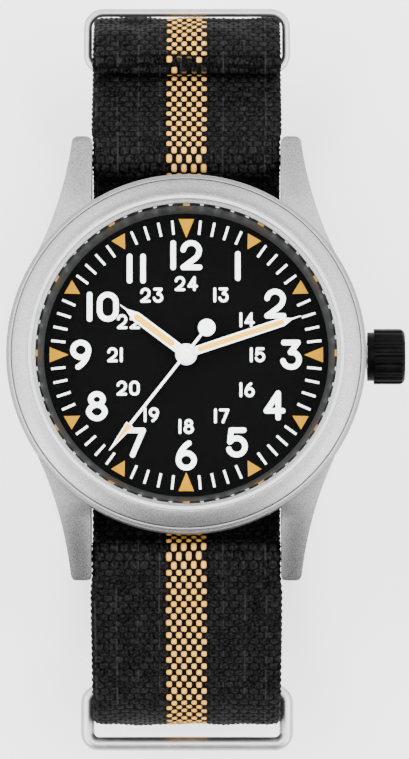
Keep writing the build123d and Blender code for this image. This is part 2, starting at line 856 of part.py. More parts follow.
# Hand setting: clutch wheel, fork and lever
clutch_x = 7.3
clutch_length = 1.3
clutch_radius = 1.0
clutch_groove_inset = 0.7
clutch_groove_x = clutch_x + clutch_groove_inset
clutch_groove = 0.3
clutch_groove_radius = 0.65
clutch_teeth = 12
clutch_tooth_depth = 0.2
square_clearance = 0.1
fork_x = clutch_groove_x + thin_gap
fork_thickness = 0.2
fork_half_width = 1.3
fork_drop = 1.45
fork_tail_end = 12.4
fork_tail_width = 1.2
lever_drop = 1.1
lever_z = stem_z - lever_drop
lever_thickness = 0.2
lever_width = 1.1
lever_x = stem_groove_x + stem_groove / 2
lever_y = 2.4
lever_hole = 0.45
lever_post_radius = 0.4
lever_pin_radius = 0.2
lever_pin_top = stem_z - stem_groove_radius - fit_gap
with BuildPart() as clutch_wheel:
    rod(clutch_x, clutch_length, clutch_radius, 0, stem_z)
    with BuildSketch(across(clutch_x)) as slots:
        with Locations((0, stem_z)):
            with PolarLocations(clutch_radius, clutch_teeth):
                Rectangle(clutch_radius / 2, clutch_radius / 4)
    extrude(slots.sketch, amount=clutch_tooth_depth, mode=Mode.SUBTRACT)
    with BuildSketch(across(clutch_x)) as hole:
        with Locations((0, stem_z)):
            Rectangle(stem_square + square_clearance, stem_square + square_clearance)
    extrude(hole.sketch, amount=clutch_length, mode=Mode.SUBTRACT)
    rod(
        clutch_groove_x, clutch_groove, clutch_radius + overrun, 0, stem_z, clutch_groove_radius,
        mode=Mode.SUBTRACT,
    )
save(clutch_wheel, "clutch_wheel")

with BuildPart() as clutch_fork:
    with BuildSketch(across(fork_x)) as prongs:
        with Locations((0, stem_z - fork_drop / 2)):
            Rectangle(2 * fork_half_width, fork_drop)
        with Locations((0, stem_z)):
            Circle(clutch_groove_radius + thin_gap, mode=Mode.SUBTRACT)
    extrude(prongs.sketch, amount=fork_thickness)
    block(
        (fork_x + fork_tail_end) / 2, 0, stem_z - fork_drop,
        (fork_tail_end - fork_x, fork_tail_width, lever_thickness),
    )
save(clutch_fork, "clutch_fork")

with BuildPart() as setting_lever:
    with BuildSketch(level(lever_z)) as arm:
        with Locations((lever_x, lever_y / 2)):
            SlotCenterToCenter(lever_y, lever_width, rotation=90)
        with Locations((lever_x, lever_y)):
            Circle(lever_hole, mode=Mode.SUBTRACT)
    extrude(arm.sketch, amount=lever_thickness)
    disc(lever_z, lever_pin_top - lever_z, lever_pin_radius, at=(lever_x, 0))
save(setting_lever, "setting_lever")

# Plates, motor, electronics and battery
rim_inner = 12.65
plate_hole = 0.55
window_start = 6.4
window_end = 9.4
window_width = 2.5
battery_angle = 40
battery_distance = 8.6
battery_radius = 3.4
battery_height = 2.6
battery_lip = 0.25
coil_middle_x = -2.0
coil_y = -8.7
coil_half_length = 5.0
coil_leg = 1.4
coil_winding_radius = 1.2
coil_core_width = 1.0
stator_thickness = 0.5
stator_rise = 0.15
stator_z = fifth_wheel_z + wheel_thickness + stator_rise
stator_width = 3.4
stator_hole = 1.1
fifth_clearance = 0.35
core_thickness = 0.5
board_rise = 0.15
board_z = movement_z + board_rise
board_thickness = 0.25
board_edge_x = -7.2
board_half_width = 7.5
can_radius = 0.7
can_length = 4.5
can_x = -9.6
bridge_at = (-1.5, -0.9)
bridge_radius = 6.1
bridge_posts = ((2.2, 3.3), (3.6, -2.2), (-6.3, -2.4))
bridge_post_radius = 0.5
screw_radius = 0.25
screw_head_radius = 0.6
screw_head = 0.2
screw_bite = 0.5
screw_end = main_plate_z + screw_bite
clamp_inner = 6.0
clamp_width = 2.4
clamp_thickness = 0.2
battery_turn = radians(battery_angle)
battery_at = (battery_distance * sin(battery_turn), battery_distance * cos(battery_turn))

with BuildPart() as main_plate:
    disc(main_plate_z, main_plate_thickness, movement_radius)
    disc(movement_z, dial_z - thin_gap - movement_z, movement_radius, rim_inner)
    disc(
        movement_z + battery_height + thin_gap, main_plate_z - movement_z - battery_height - thin_gap,
        battery_radius - battery_lip, at=battery_at,
    )
    disc(main_plate_z, main_plate_thickness, plate_hole, mode=Mode.SUBTRACT)
    rod(
        window_start, movement_radius + overrun - window_start, stem_radius + thin_gap, 0, stem_z,
        mode=Mode.SUBTRACT,
    )
    block(
        (window_start + window_end) / 2, 0, main_plate_z,
        (window_end - window_start, window_width, main_plate_thickness), mode=Mode.SUBTRACT,
    )
    for place in (minute_wheel_at, setting_at):
        disc(
            main_plate_z + main_plate_thickness / 2, hour_wheel_z - main_plate_z - main_plate_thickness / 2,
            post_radius, at=place,
        )
    disc(lever_z, main_plate_z - lever_z, lever_post_radius, at=(lever_x, lever_y))
    for place in bridge_posts:
        disc(main_plate_z, screw_end - main_plate_z, screw_radius + fine_gap, at=place, mode=Mode.SUBTRACT)
save(main_plate, "main_plate")

with BuildPart() as train_bridge:
    disc(bridge_z, bridge_thickness, bridge_radius, at=bridge_at)
    for place in bridge_posts:
        disc(bridge_z, main_plate_z - bridge_z, bridge_post_radius, at=place)
        disc(bridge_z, main_plate_z - bridge_z, screw_radius + fine_gap, at=place, mode=Mode.SUBTRACT)
save(train_bridge, "train_bridge")

with BuildPart() as bridge_screws:
    for place in bridge_posts:
        disc(bridge_z - screw_head, screw_head, screw_head_radius, at=place)
        disc(bridge_z, screw_end - bridge_z, screw_radius, at=place)
save(bridge_screws, "bridge_screws")

with BuildPart() as stator:
    block(
        coil_middle_x, rotor_at[1], stator_z, (2 * coil_half_length, stator_width, stator_thickness),
    )
    for end in (-1, 1):
        leg_top = rotor_at[1]
        leg_bottom = coil_y - coil_core_width / 2
        block(
            coil_middle_x + end * (coil_half_length - coil_leg / 2), (leg_top + leg_bottom) / 2,
            stator_z, (coil_leg, leg_top - leg_bottom, stator_thickness),
        )
    disc(stator_z, stator_thickness, stator_hole, at=rotor_at, mode=Mode.SUBTRACT)
    disc(stator_z, stator_thickness, fifth_clearance, at=fifth_at, mode=Mode.SUBTRACT)
save(stator, "stator")

core_z = stator_z - core_thickness
winding_half_length = coil_half_length - coil_leg - fit_gap
with BuildPart() as coil_core:
    block(coil_middle_x, coil_y, core_z, (2 * coil_half_length, coil_core_width, core_thickness))
save(coil_core, "coil_core")

with BuildPart() as coil_winding:
    rod(
        coil_middle_x - winding_half_length, 2 * winding_half_length, coil_winding_radius,
        coil_y, core_z + core_thickness / 2,
    )
    block(
        coil_middle_x, coil_y, core_z,
        (2 * coil_half_length, coil_core_width, core_thickness), mode=Mode.SUBTRACT,
    )
save(coil_winding, "coil_winding")

with BuildPart() as circuit_board:
    with BuildSketch(level(board_z)):
        Circle(rim_inner - fit_gap)
        with Locations(((board_edge_x - rim_inner) / 2, 0)):
            Rectangle(rim_inner + board_edge_x, 2 * board_half_width, mode=Mode.INTERSECT)
    extrude(amount=board_thickness)
save(circuit_board, "circuit_board")

with BuildPart() as quartz_can:
    with BuildSketch(turning_plane) as can:
        with Locations((can_x, board_z + board_thickness + can_radius)):
            Circle(can_radius)
    extrude(can.sketch, amount=can_length, both=True)
save(quartz_can, "quartz_can")

with BuildPart() as battery:
    disc(movement_z, battery_height, battery_radius, at=battery_at)
    chamfer(battery.edges().sort_by(Axis.Z)[0], battery_lip)
save(battery, "battery")

with BuildPart() as battery_clamp:
    with BuildSketch(at_angle(movement_z - clamp_thickness - thin_gap, battery_angle)):
        with Locations(((clamp_inner + movement_radius) / 2, 0)):
            SlotOverall(movement_radius - clamp_inner, clamp_width)
    extrude(amount=clamp_thickness)
save(battery_clamp, "battery_clamp")

with BuildPart() as movement_holder:
    disc(back_inside_z + thin_gap, dial_z - thin_gap - back_inside_z, holder_radius, holder_bore)
    rod(
        holder_bore - overrun, holder_radius - holder_bore + 2 * overrun, tube_bore, 0, stem_z,
        mode=Mode.SUBTRACT,
    )
save(movement_holder, "movement_holder")

# Spring bars
spring_half_length = tip_start - thin_gap
for side_name, bar_side in (("12", bar_y), ("6", -bar_y)):
    with BuildPart() as bar_tube:
        rod(-bar_half_length, 2 * bar_half_length, bar_radius, bar_side, bar_z, bar_bore)
    save(bar_tube, f"spring_bar_{side_name}")
    with BuildPart() as bar_spring:
        with BuildLine(across(-spring_half_length)) as coil_line:
            Helix(
                2 * spring_half_length / spring_turns, 2 * spring_half_length, spring_radius,
                center=(bar_side, bar_z, 0), direction=(1, 0, 0),
            )
        with BuildSketch(Plane(origin=coil_line.line @ 0, z_dir=coil_line.line % 0)) as strand:
            Circle(spring_wire)
        sweep(strand.sketch, path=coil_line.line)
    save(bar_spring, f"bar_spring_{side_name}")
    for hand_name, way in (("left", -1), ("right", 1)):
        with BuildPart() as bar_tip:
            rod(way * tip_start, way * (lug_gap / 2 - thin_gap - tip_start), tip_radius, bar_side, bar_z)
            rod(
                way * (lug_gap / 2 - thin_gap - tip_flange), way * tip_flange, tip_flange_radius,
                bar_side, bar_z,
            )
            rod(way * (lug_gap / 2 - thin_gap), way * pivot_length, pivot_radius, bar_side, bar_z)
        save(bar_tip, f"bar_tip_{side_name}_{hand_name}")

# Strap: the centreline of each layer, in a side view with the 12 o'clock side at +Y
low_layer_z = strap_bottom_z + layer_pitch
arm_z = low_layer_z + 2 * loop_radius + loop_slack
arm_end_z = low_layer_z + layer_pitch + layer_gap
arm_end_inset = 17.85
arm_end_y = strap_reach_12 - arm_end_inset
arm_bend = 2.0
wrap_y = bar_y - wrap_radius
wrap_z = bar_z + wrap_radius * (1 + sin(slope)) / cos(slope)
return_reach = strap_reach_12 + layer_pitch
tail_centre_reach = return_reach + tail_pitch
bottom_spread = 1.0
keeper_drop = 2.35
tail_end_drop = 7.8
ring_drop = 6.45


def slope_height(reach, offset):
    """Height where a layer's sloping run would meet its upright run at this reach."""
    return bar_z + (wrap_radius + offset - (reach - bar_y) * sin(slope)) / cos(slope)


def slope_point(offset, down):
    """Point of a layer's sloping run, a distance down from beside the spring bar."""
    out = wrap_radius + offset
    return (
        bar_y + out * sin(slope) + down * cos(slope),
        bar_z + out * cos(slope) - down * sin(slope),
    )


# The keeper and ring sit below the shoulders, and the bottom bends stay under them
keeper_z = bar_z - (strap_reach_12 - bar_y) * tan(slope) - keeper_drop
tail_end_z = keeper_z - tail_end_drop
ring_z = bar_z - (strap_reach_6 - bar_y) * tan(slope) - ring_drop
bend_12 = min(bottom_bend, tail_end_z - strap_bottom_z)
bend_6 = min(bottom_bend + bottom_spread, ring_z - ring_wire / 2 - strap_bottom_z)
tail_bend = bend_12 + layer_pitch

# The shoulders' bends leave room on the slope for the strip's own bend beside the case
strip_reach_12 = strap_reach_12 - layer_pitch
strip_reach_6 = strap_reach_6 - layer_pitch
strip_slope_y = bar_y + (wrap_radius - layer_pitch - (strip_z - bar_z) * cos(slope)) / sin(slope)
bend_room = layer_pitch - strip_bend - fit_gap
shoulder_12 = min(shoulder_bend, (strip_reach_12 - strip_slope_y) / cos(slope) / tan(slope / 2) + bend_room)
shoulder_6 = min(shoulder_bend, (strip_reach_6 - strip_slope_y) / cos(slope) / tan(slope / 2) + bend_room)

fold_offset = layer_pitch + tail_pitch
fold_down = (fold_y - bar_y - (wrap_radius + fold_offset) * sin(slope)) / cos(slope)
long_strap_corners = [
    ((arm_end_y, arm_end_z), 0),
    ((arm_end_y - arm_bend, arm_end_z), arm_bend),
    ((arm_end_y - 2 * arm_bend, arm_z), arm_bend),
    ((buckle_bar_y - loop_radius, arm_z), loop_radius),
    ((buckle_bar_y - loop_radius, low_layer_z), loop_radius),
    ((strap_reach_12, low_layer_z), bend_12),
    ((strap_reach_12, slope_height(strap_reach_12, 0)), shoulder_12),
    ((wrap_y, wrap_z), wrap_radius),
    ((wrap_y, under_case_z), case_bend),
    ((-wrap_y, under_case_z), case_bend),
    ((-wrap_y, wrap_z), wrap_radius),
    ((-strap_reach_6, slope_height(strap_reach_6, 0)), shoulder_6),
    ((-strap_reach_6, strap_bottom_z), bend_6),
    ((tail_centre_reach, strap_bottom_z), tail_bend),
    ((tail_centre_reach, slope_height(tail_centre_reach, fold_offset)), shoulder_12 + fold_offset),
    (slope_point(fold_offset, fold_down), fold_bend),
    (slope_point(layer_pitch, fold_down), fold_bend),
    ((return_reach, slope_height(return_reach, layer_pitch)), shoulder_12 + layer_pitch),
    ((return_reach, tail_end_z), 0),
]


def ribbon(corners, start_x, width):
    """Strap layer of the webbing's thickness along rounded corners, widthwise along X."""
    points = [corner for corner, bend in corners]
    bends = [bend for corner, bend in corners[1:-1]]
    with BuildSketch(across(start_x)) as face:
        with BuildLine() as centre_line:
            FilletPolyline(*points, radius=bends)
        trace(centre_line.line, webbing)
    extrude(face.sketch, amount=width)


hole_length = 2.6
hole_places = [tongue_hole_y + tongue_play / 3 + step * hole_pitch for step in (-2, -1, 1, 2)]
slot_width = 1.8
slot_start_y = buckle_bar_y - loop_radius - webbing / 2 - thin_gap
slot_end_y = buckle_bar_y + loop_radius + webbing / 2
with BuildPart() as long_strap:
    ribbon(long_strap_corners, -strap_width / 2, strap_width)
    with BuildSketch(level(strap_bottom_z - webbing / 2)) as holes:
        with Locations(*[(0, place) for place in hole_places]):
            Circle(hole_radius)
        with Locations((0, tongue_hole_y + tongue_play / 3)):
            SlotOverall(hole_length, 2 * hole_radius, rotation=90)
    extrude(holes.sketch, amount=webbing, mode=Mode.SUBTRACT)
    block(
        0, (slot_start_y + slot_end_y) / 2, strap_bottom_z + webbing / 2 + thin_gap,
        (slot_width, slot_end_y - slot_start_y, arm_z + webbing - strap_bottom_z), mode=Mode.SUBTRACT,
    )
save(long_strap, "long_strap")

# Short strip under the case, with the ring at its 6 o'clock end
ring_width = 23.4
ring_corner = 1.25
ring_slack = 0.25
ring_loop = ring_wire / 2 + thin_gap + webbing / 2
strip_loop = ring_loop + ring_slack
strip_loop_end_y = 2 * strip_loop + loop_slack - strip_reach_6
strip_start_rise = 0.3
strip_start_z = low_layer_z + bend_12 + strip_start_rise
fold_end_y = -strip_reach_6 + layer_pitch
fold_end_rise = 4.8
fold_spread_rise = 1.2
fold_meet_rise = 2.6
fold_end_z = ring_z + fold_end_rise
fold_spread_z = ring_z + fold_spread_rise
fold_meet_z = ring_z + fold_meet_rise
fold_soft_bend = 1.0
short_strip_corners = [
    ((strip_reach_12, strip_start_z), 0),
    ((strip_reach_12, slope_height(strip_reach_12, -layer_pitch)), shoulder_12 - layer_pitch),
    ((strip_slope_y, strip_z), strip_bend),
    ((-strip_slope_y, strip_z), strip_bend),
    ((-strip_reach_6, slope_height(strip_reach_6, -layer_pitch)), shoulder_6 - layer_pitch),
    ((-strip_reach_6, ring_z - strip_loop), strip_loop),
    ((strip_loop_end_y, ring_z - strip_loop), strip_loop),
    ((strip_loop_end_y, fold_spread_z), fold_soft_bend),
    ((fold_end_y, fold_meet_z), fold_soft_bend),
    ((fold_end_y, fold_end_z), 0),
]
with BuildPart() as short_strip:
    ribbon(short_strip_corners, -strap_width / 2, strap_width)
save(short_strip, "short_strip")


def wire_loop(plane, start, end, half_width, wire, corner):
    """Closed rectangular wire loop between two places on a plane's local y."""
    with BuildLine(plane) as route:
        FilletPolyline(
            (-half_width, start), (half_width, start), (half_width, end), (-half_width, end),
            radius=corner, close=True,
        )
    loop = route.wire()
    with BuildSketch(Plane(origin=loop @ 0, z_dir=loop % 0)) as section:
        Circle(wire / 2)
    sweep(section.sketch, path=loop)


keeper_width = 22.8
keeper_corner = 1.7
ring_inner_y = strip_loop_end_y - loop_slack - ring_loop
ring_outer_y = -ring_reach + ring_wire / 2
with BuildPart() as strap_ring:
    wire_loop(level(ring_z), ring_inner_y, ring_outer_y, (ring_width - ring_wire) / 2, ring_wire, ring_corner)
save(strap_ring, "strap_ring")

keeper_inner_y = strip_reach_12 - webbing / 2 - keeper_clearance - keeper_wire / 2
keeper_outer_y = keeper_reach - keeper_wire / 2
with BuildPart() as floating_keeper:
    wire_loop(
        level(keeper_z), keeper_inner_y, keeper_outer_y, (keeper_width - keeper_wire) / 2,
        keeper_wire, keeper_corner,
    )
save(floating_keeper, "floating_keeper")

keeper_plane = Plane(origin=(dial_x, dial_y + fixed_keeper_y, 0), x_dir=(1, 0, 0), z_dir=(0, -1, 0))
keeper_low_z = strap_bottom_z - webbing / 2 - keeper_clearance - keeper_wire / 2
keeper_high_z = low_layer_z + webbing / 2 + keeper_clearance + keeper_wire / 2
with BuildPart() as fixed_keeper:
    wire_loop(
        keeper_plane, keeper_low_z, keeper_high_z, (keeper_width - keeper_wire) / 2,
        keeper_wire, keeper_corner,
    )
save(fixed_keeper, "fixed_keeper")

# Buckle frame, bar and tongue
frame_half_width = frame_inner_width / 2 + frame_rail
frame_start_y = crossbar_y - crossbar_width / 2
frame_end_y = buckle_bar_y + frame_rail
ear_radius = 1.6
notch_play = 0.3
notch_width = tongue_width + notch_play
with BuildPart() as buckle_frame:
    with BuildSketch(across(-frame_half_width)) as rail_side:
        with BuildLine():
            Polyline(
                (frame_start_y, 0), (frame_end_y, 0), (frame_end_y, buckle_bar_z),
                (buckle_bar_y - ear_radius, buckle_bar_z), (buckle_bar_y - 2 * ear_radius, frame_thickness),
                (frame_start_y, frame_thickness), close=True,
            )
        make_face()
        with Locations((buckle_bar_y, buckle_bar_z)):
            Circle(ear_radius)
    extrude(rail_side.sketch, amount=2 * frame_half_width)
    block(
        0, (frame_start_y + frame_end_y) / 2 + crossbar_width, -overrun,
        (frame_inner_width, frame_end_y - frame_start_y, 2 * buckle_bar_z + overrun), mode=Mode.SUBTRACT,
    )
    block(
        0, crossbar_y, 0, (notch_width, crossbar_width, tongue_notch), mode=Mode.SUBTRACT,
    )
    rod(
        -frame_half_width, 2 * frame_half_width, buckle_bar_radius + fine_gap, buckle_bar_y, buckle_bar_z,
        mode=Mode.SUBTRACT,
    )
save(buckle_frame, "buckle_frame")

with BuildPart() as buckle_bar:
    rod(-frame_half_width, 2 * frame_half_width, buckle_bar_radius, buckle_bar_y, buckle_bar_z)
save(buckle_bar, "buckle_bar")

tongue_thickness = 0.8
tongue_bend = 0.9
tongue_tip_inset = 0.3
tongue_tip_y = frame_start_y + tongue_tip_inset
tongue_tip_z = tongue_thickness / 2 + fit_gap
tongue_low_z = strap_bottom_z - webbing / 2 - tongue_bend
with BuildPart() as buckle_tongue:
    with BuildSketch(across(-tongue_width / 2)) as blade:
        with BuildLine() as bent:
            FilletPolyline(
                (buckle_bar_y, buckle_bar_z), (tongue_hole_y, buckle_bar_z), (tongue_hole_y, tongue_low_z),
                (tongue_tip_y, tongue_tip_z), radius=tongue_bend,
            )
        trace(bent.line, tongue_thickness)
        with Locations((buckle_bar_y, buckle_bar_z)):
            Circle(buckle_bar_radius + tongue_ring)
            Circle(buckle_bar_radius + thin_gap, mode=Mode.SUBTRACT)
    extrude(blade.sketch, amount=tongue_width)
save(buckle_tongue, "buckle_tongue")

# Stitching: rows of short stitches across the strap
stitch_length = 1.5
stitch_width = 0.35
stitch_height = 0.15
stitch_count = 9
stitch_step = (strap_width - 2 * stitch_length) / (stitch_count - 1)
stitch_start = -strap_width / 2 + stitch_length
stitch_row_shares = (0.3, 0.7)
with BuildPart() as strap_stitching:
    for step in range(stitch_count):
        middle = stitch_start + step * stitch_step
        for share in stitch_row_shares:
            row = arm_end_y - share * stitch_length
            block(middle, row, arm_end_z + webbing / 2, (stitch_length, stitch_width, stitch_height))
            row = fold_end_z - share * stitch_length - stitch_width
            block(
                middle, fold_end_y + webbing / 2 + stitch_height / 2, row,
                (stitch_length, stitch_height, stitch_width),
            )
        block(
            middle, strip_reach_12 - webbing / 2 - stitch_height / 2, strip_start_z + stitch_width,
            (stitch_length, stitch_height, stitch_width),
        )
save(strap_stitching, "strap_stitching")
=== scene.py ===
import json
from math import atan2, ceil, cos, pi, radians, sin, tan

import bmesh
import bpy
from mathutils import Matrix, Vector, noise


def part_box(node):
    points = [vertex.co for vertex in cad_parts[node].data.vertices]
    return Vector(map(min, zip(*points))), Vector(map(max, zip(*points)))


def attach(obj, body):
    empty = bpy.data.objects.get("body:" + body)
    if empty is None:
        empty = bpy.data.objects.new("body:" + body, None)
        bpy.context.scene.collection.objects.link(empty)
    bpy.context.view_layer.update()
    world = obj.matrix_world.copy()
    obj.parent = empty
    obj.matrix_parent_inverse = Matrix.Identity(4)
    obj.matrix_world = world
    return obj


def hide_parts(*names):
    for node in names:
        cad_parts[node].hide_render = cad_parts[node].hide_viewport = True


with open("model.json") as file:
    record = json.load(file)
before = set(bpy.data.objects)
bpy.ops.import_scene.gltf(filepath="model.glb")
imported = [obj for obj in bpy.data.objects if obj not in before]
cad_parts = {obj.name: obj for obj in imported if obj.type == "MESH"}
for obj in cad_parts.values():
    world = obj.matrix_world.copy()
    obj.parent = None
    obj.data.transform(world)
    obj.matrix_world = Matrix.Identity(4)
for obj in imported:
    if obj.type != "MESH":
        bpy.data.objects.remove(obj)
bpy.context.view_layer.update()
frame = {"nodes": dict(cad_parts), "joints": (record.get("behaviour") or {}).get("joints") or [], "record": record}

MM = 0.001

# The dial axis, and each node's body and finish, from the frame
DIAL_X, DIAL_Y = next(joint["pos_m"][:2] for joint in frame["joints"] if joint["name"] == "minute_turn")
BODY_OF = {node: body for body, nodes in frame["record"]["behaviour"]["bodies"].items() for node in nodes}
SLOT_OF = {part["node"]: part["material_slot"] for part in frame["record"]["subparts"]}


def middle(node):
    """Middle of a node's box, in millimetres from the dial axis and the base."""
    low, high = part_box(node)
    centre = (low + high) / 2
    return (centre.x - DIAL_X) / MM, (centre.y - DIAL_Y) / MM, centre.z / MM


# Webbing: its width, thickness and woven cells, in millimetres and in columns of yarn
strap_width = 20.0
webbing = 1.1
columns = 38
stripe_columns = 8
row_pitch = 0.96
closest_pitch = 0.75
weave_relief = 0.1
weave_core = webbing / 2 - weave_relief
hollow_share = 0.6
edge_power = 16
edge_scallop = 0.07

# How unevenly the webbing lies, in millimetres
lay_wander = 0.16
lay_wander_pitch = 5.5
surface_wander = 0.07
edge_wander = 0.32
free_spread = 0.22
between_lugs_y = 23.0
widening_run = 2.0
keeper_bulge = 0.32
keeper_bulge_height = 6.0

# How crowded two of those unevennesses are beside the first, and where in the noise each is taken
surface_noise = 1.7, (9, 4, 2)
edge_noise = 1.5, (3, 0, 5)

# Where the strap runs, in millimetres from the dial axis and the base
layer_gap = 0.1
layer_pitch = webbing + layer_gap
tail_pitch = 1.4
_, bar_y, bar_z = middle("spring_bar_12")
bar_radius = 0.75
bar_clearance = 0.1
wrap_radius = bar_radius + bar_clearance + webbing / 2
slope = radians(45)
wrist_height = 42.2
strip_z = wrist_height + webbing / 2
under_case_z = strip_z + layer_pitch
strap_reach_12 = 36.05
strap_reach_6 = 37.75
return_reach = strap_reach_12 + layer_pitch
tail_reach = return_reach + tail_pitch
shoulder_bend = 11.0
case_bend = 2.2
strip_bend = 6.0
strap_bottom_z = 2.9
bottom_bend = 19.3
bottom_spread = 1.0
low_layer_z = strap_bottom_z + layer_pitch
tail_end_z = 22.2
_, _, keeper_z = middle("floating_keeper")

# The sewn arm round the buckle's bar, and the holes and slot there
_, buckle_bar_y, _ = middle("buckle_bar")
loop_radius = bar_radius + bar_clearance + webbing / 2
loop_slack = 0.1
arm_z = low_layer_z + 2 * loop_radius + loop_slack
arm_end_z = low_layer_z + layer_pitch + layer_gap
arm_end_y = 18.2
arm_bend = 2.0
tongue_hole_y = -0.6
tongue_play = 0.7
hole_radius = 1.0
hole_pitch = 7.0
hole_length = 2.6
slot_width = 1.8
slot_gap = 0.05

# The tail's fold over the keeper
fold_y = 32.7
fold_flat = 0.01
fold_bend = tail_pitch / 2 - fold_flat
fold_offset = layer_pitch + tail_pitch
fold_down = (fold_y - bar_y - (wrap_radius + fold_offset) * sin(slope)) / cos(slope)

# The short strip's seam, and its fold round the ring
_, _, ring_z = middle("strap_ring")
ring_wire = 1.5
ring_gap = 0.05
ring_slack = 0.25
seam_rise = 0.3
seam_z = low_layer_z + bottom_bend + seam_rise
fold_end_rise = 4.8
fold_end_z = ring_z + fold_end_rise


class Route:
    """Centreline of a strap layer seen from the side: straight runs joined by arcs."""

    def __init__(self, corners):
        points = [Vector(point) for point, _ in corners]
        self.pieces = []
        place = points[0]
        for index in range(1, len(points) - 1):
            bend = corners[index][1]
            arriving = (points[index] - points[index - 1]).normalized()
            leaving = (points[index + 1] - points[index]).normalized()
            turn = atan2(arriving.x * leaving.y - arriving.y * leaving.x, arriving.dot(leaving))
            tangent = bend * tan(abs(turn) / 2)
            start = points[index] - arriving * tangent
            heading = atan2(arriving.y, arriving.x)
            self.pieces.append((place, heading, 0, (start - place).length))
            self.pieces.append((start, heading, turn / (bend * abs(turn)), bend * abs(turn)))
            place = points[index] + leaving * tangent
        heading = atan2(points[-1].y - place.y, points[-1].x - place.x)
        self.pieces.append((place, heading, 0, (points[-1] - place).length))
        self.length = sum(piece[3] for piece in self.pieces)

    def at(self, distance):
        """Point and heading a distance along the route."""
        for start, heading, curvature, length in self.pieces[:-1]:
            if distance <= length:
                break
            distance -= length
        else:
            start, heading, curvature, _ = self.pieces[-1]
        if not curvature:
            return start + distance * Vector((cos(heading), sin(heading))), heading
        turned = heading + curvature * distance
        return start + Vector((sin(turned) - sin(heading), cos(heading) - cos(turned))) / curvature, turned


def slope_height(reach, offset):
    """Height where a layer's sloping run would meet its upright run at this reach."""
    return bar_z + (wrap_radius + offset - (reach - bar_y) * sin(slope)) / cos(slope)


def slope_point(offset, down):
    """Point of a layer's sloping run, a distance down from beside the spring bar."""
    out = wrap_radius + offset
    return bar_y + out * sin(slope) + down * cos(slope), bar_z + out * cos(slope) - down * sin(slope)


def long_strap_corners():
    """Corners of the long strap's centreline with their bends, from the sewn arm to the tail's end."""
    wrap_y = bar_y - wrap_radius
    wrap_z = bar_z + wrap_radius * (1 + sin(slope)) / cos(slope)
    return [
        ((arm_end_y, arm_end_z), 0),
        ((arm_end_y - arm_bend, arm_end_z), arm_bend),
        ((arm_end_y - 2 * arm_bend, arm_z), arm_bend),
        ((buckle_bar_y - loop_radius, arm_z), loop_radius),
        ((buckle_bar_y - loop_radius, low_layer_z), loop_radius),
        ((strap_reach_12, low_layer_z), bottom_bend),
        ((strap_reach_12, slope_height(strap_reach_12, 0)), shoulder_bend),
        ((wrap_y, wrap_z), wrap_radius),
        ((wrap_y, under_case_z), case_bend),
        ((-wrap_y, under_case_z), case_bend),
        ((-wrap_y, wrap_z), wrap_radius),
        ((-strap_reach_6, slope_height(strap_reach_6, 0)), shoulder_bend),
        ((-strap_reach_6, strap_bottom_z), bottom_bend + bottom_spread),
        ((tail_reach, strap_bottom_z), bottom_bend + layer_pitch),
        ((tail_reach, slope_height(tail_reach, fold_offset)), shoulder_bend + fold_offset),
        (slope_point(fold_offset, fold_down), fold_bend),
        (slope_point(layer_pitch, fold_down), fold_bend),
        ((return_reach, slope_height(return_reach, layer_pitch)), shoulder_bend + layer_pitch),
        ((return_reach, tail_end_z), 0),
    ]


def short_strip_corners():
    """Corners of the short strip's centreline with their bends, from its seam to the fold round the ring."""
    reach_12 = strap_reach_12 - layer_pitch
    reach_6 = strap_reach_6 - layer_pitch
    slope_y = bar_y + (wrap_radius - layer_pitch - (strip_z - bar_z) * cos(slope)) / sin(slope)
    ring_loop = ring_wire / 2 + ring_gap + webbing / 2 + ring_slack
    loop_y = -reach_6 + 2 * ring_loop + loop_slack
    spread_rise, meet_rise, soft_bend = 1.2, 2.6, 1.0
    return [
        ((reach_12, seam_z), 0),
        ((reach_12, slope_height(reach_12, -layer_pitch)), shoulder_bend - layer_pitch),
        ((slope_y, strip_z), strip_bend),
        ((-slope_y, strip_z), strip_bend),
        ((-reach_6, slope_height(reach_6, -layer_pitch)), shoulder_bend - layer_pitch),
        ((-reach_6, ring_z - ring_loop), ring_loop),
        ((loop_y, ring_z - ring_loop), ring_loop),
        ((loop_y, ring_z + spread_rise), soft_bend),
        ((-reach_6 + layer_pitch, ring_z + meet_rise), soft_bend),
        ((-reach_6 + layer_pitch, fold_end_z), 0),
    ]


# Shader maths
class Field:
    """A shader socket that takes part in sums: each operator adds its Math node."""

    def __init__(self, finish, socket):
        self.finish = finish
        self.socket = socket

    def maths(self, operation, *others):
        inputs = dict(enumerate((self,) + others))
        return self.finish.add("ShaderNodeMath", {"operation": operation}, inputs)

    def __add__(self, other):
        return self.maths("ADD", other)

    __radd__ = __add__

    def __mul__(self, other):
        return self.maths("MULTIPLY", other)

    __rmul__ = __mul__

    def __sub__(self, other):
        return self.maths("SUBTRACT", other)

    def __rsub__(self, other):
        return (self * -1) + other

    def __truediv__(self, other):
        return self.maths("DIVIDE", other)

    def __pow__(self, other):
        return self.maths("POWER", other)

    def above(self, limit):
        return self.maths("GREATER_THAN", limit)

    def below(self, limit):
        return self.maths("LESS_THAN", limit)

    def part(self):
        """What is left over the whole number below."""
        return self.maths("FRACT")

    def whole(self):
        return self.maths("FLOOR")

    def size(self):
        return self.maths("ABSOLUTE")

    def odd(self):
        """1 on odd whole numbers and 0 on even ones."""
        return self.maths("FLOORED_MODULO", 2)

    def step(self, low, high):
        """Smooth rise from 0 at low to 1 at high."""
        settings = {"interpolation_type": "SMOOTHSTEP"}
        inputs = {"Value": self, "From Min": low, "From Max": high}
        return self.finish.add("ShaderNodeMapRange", settings, inputs)


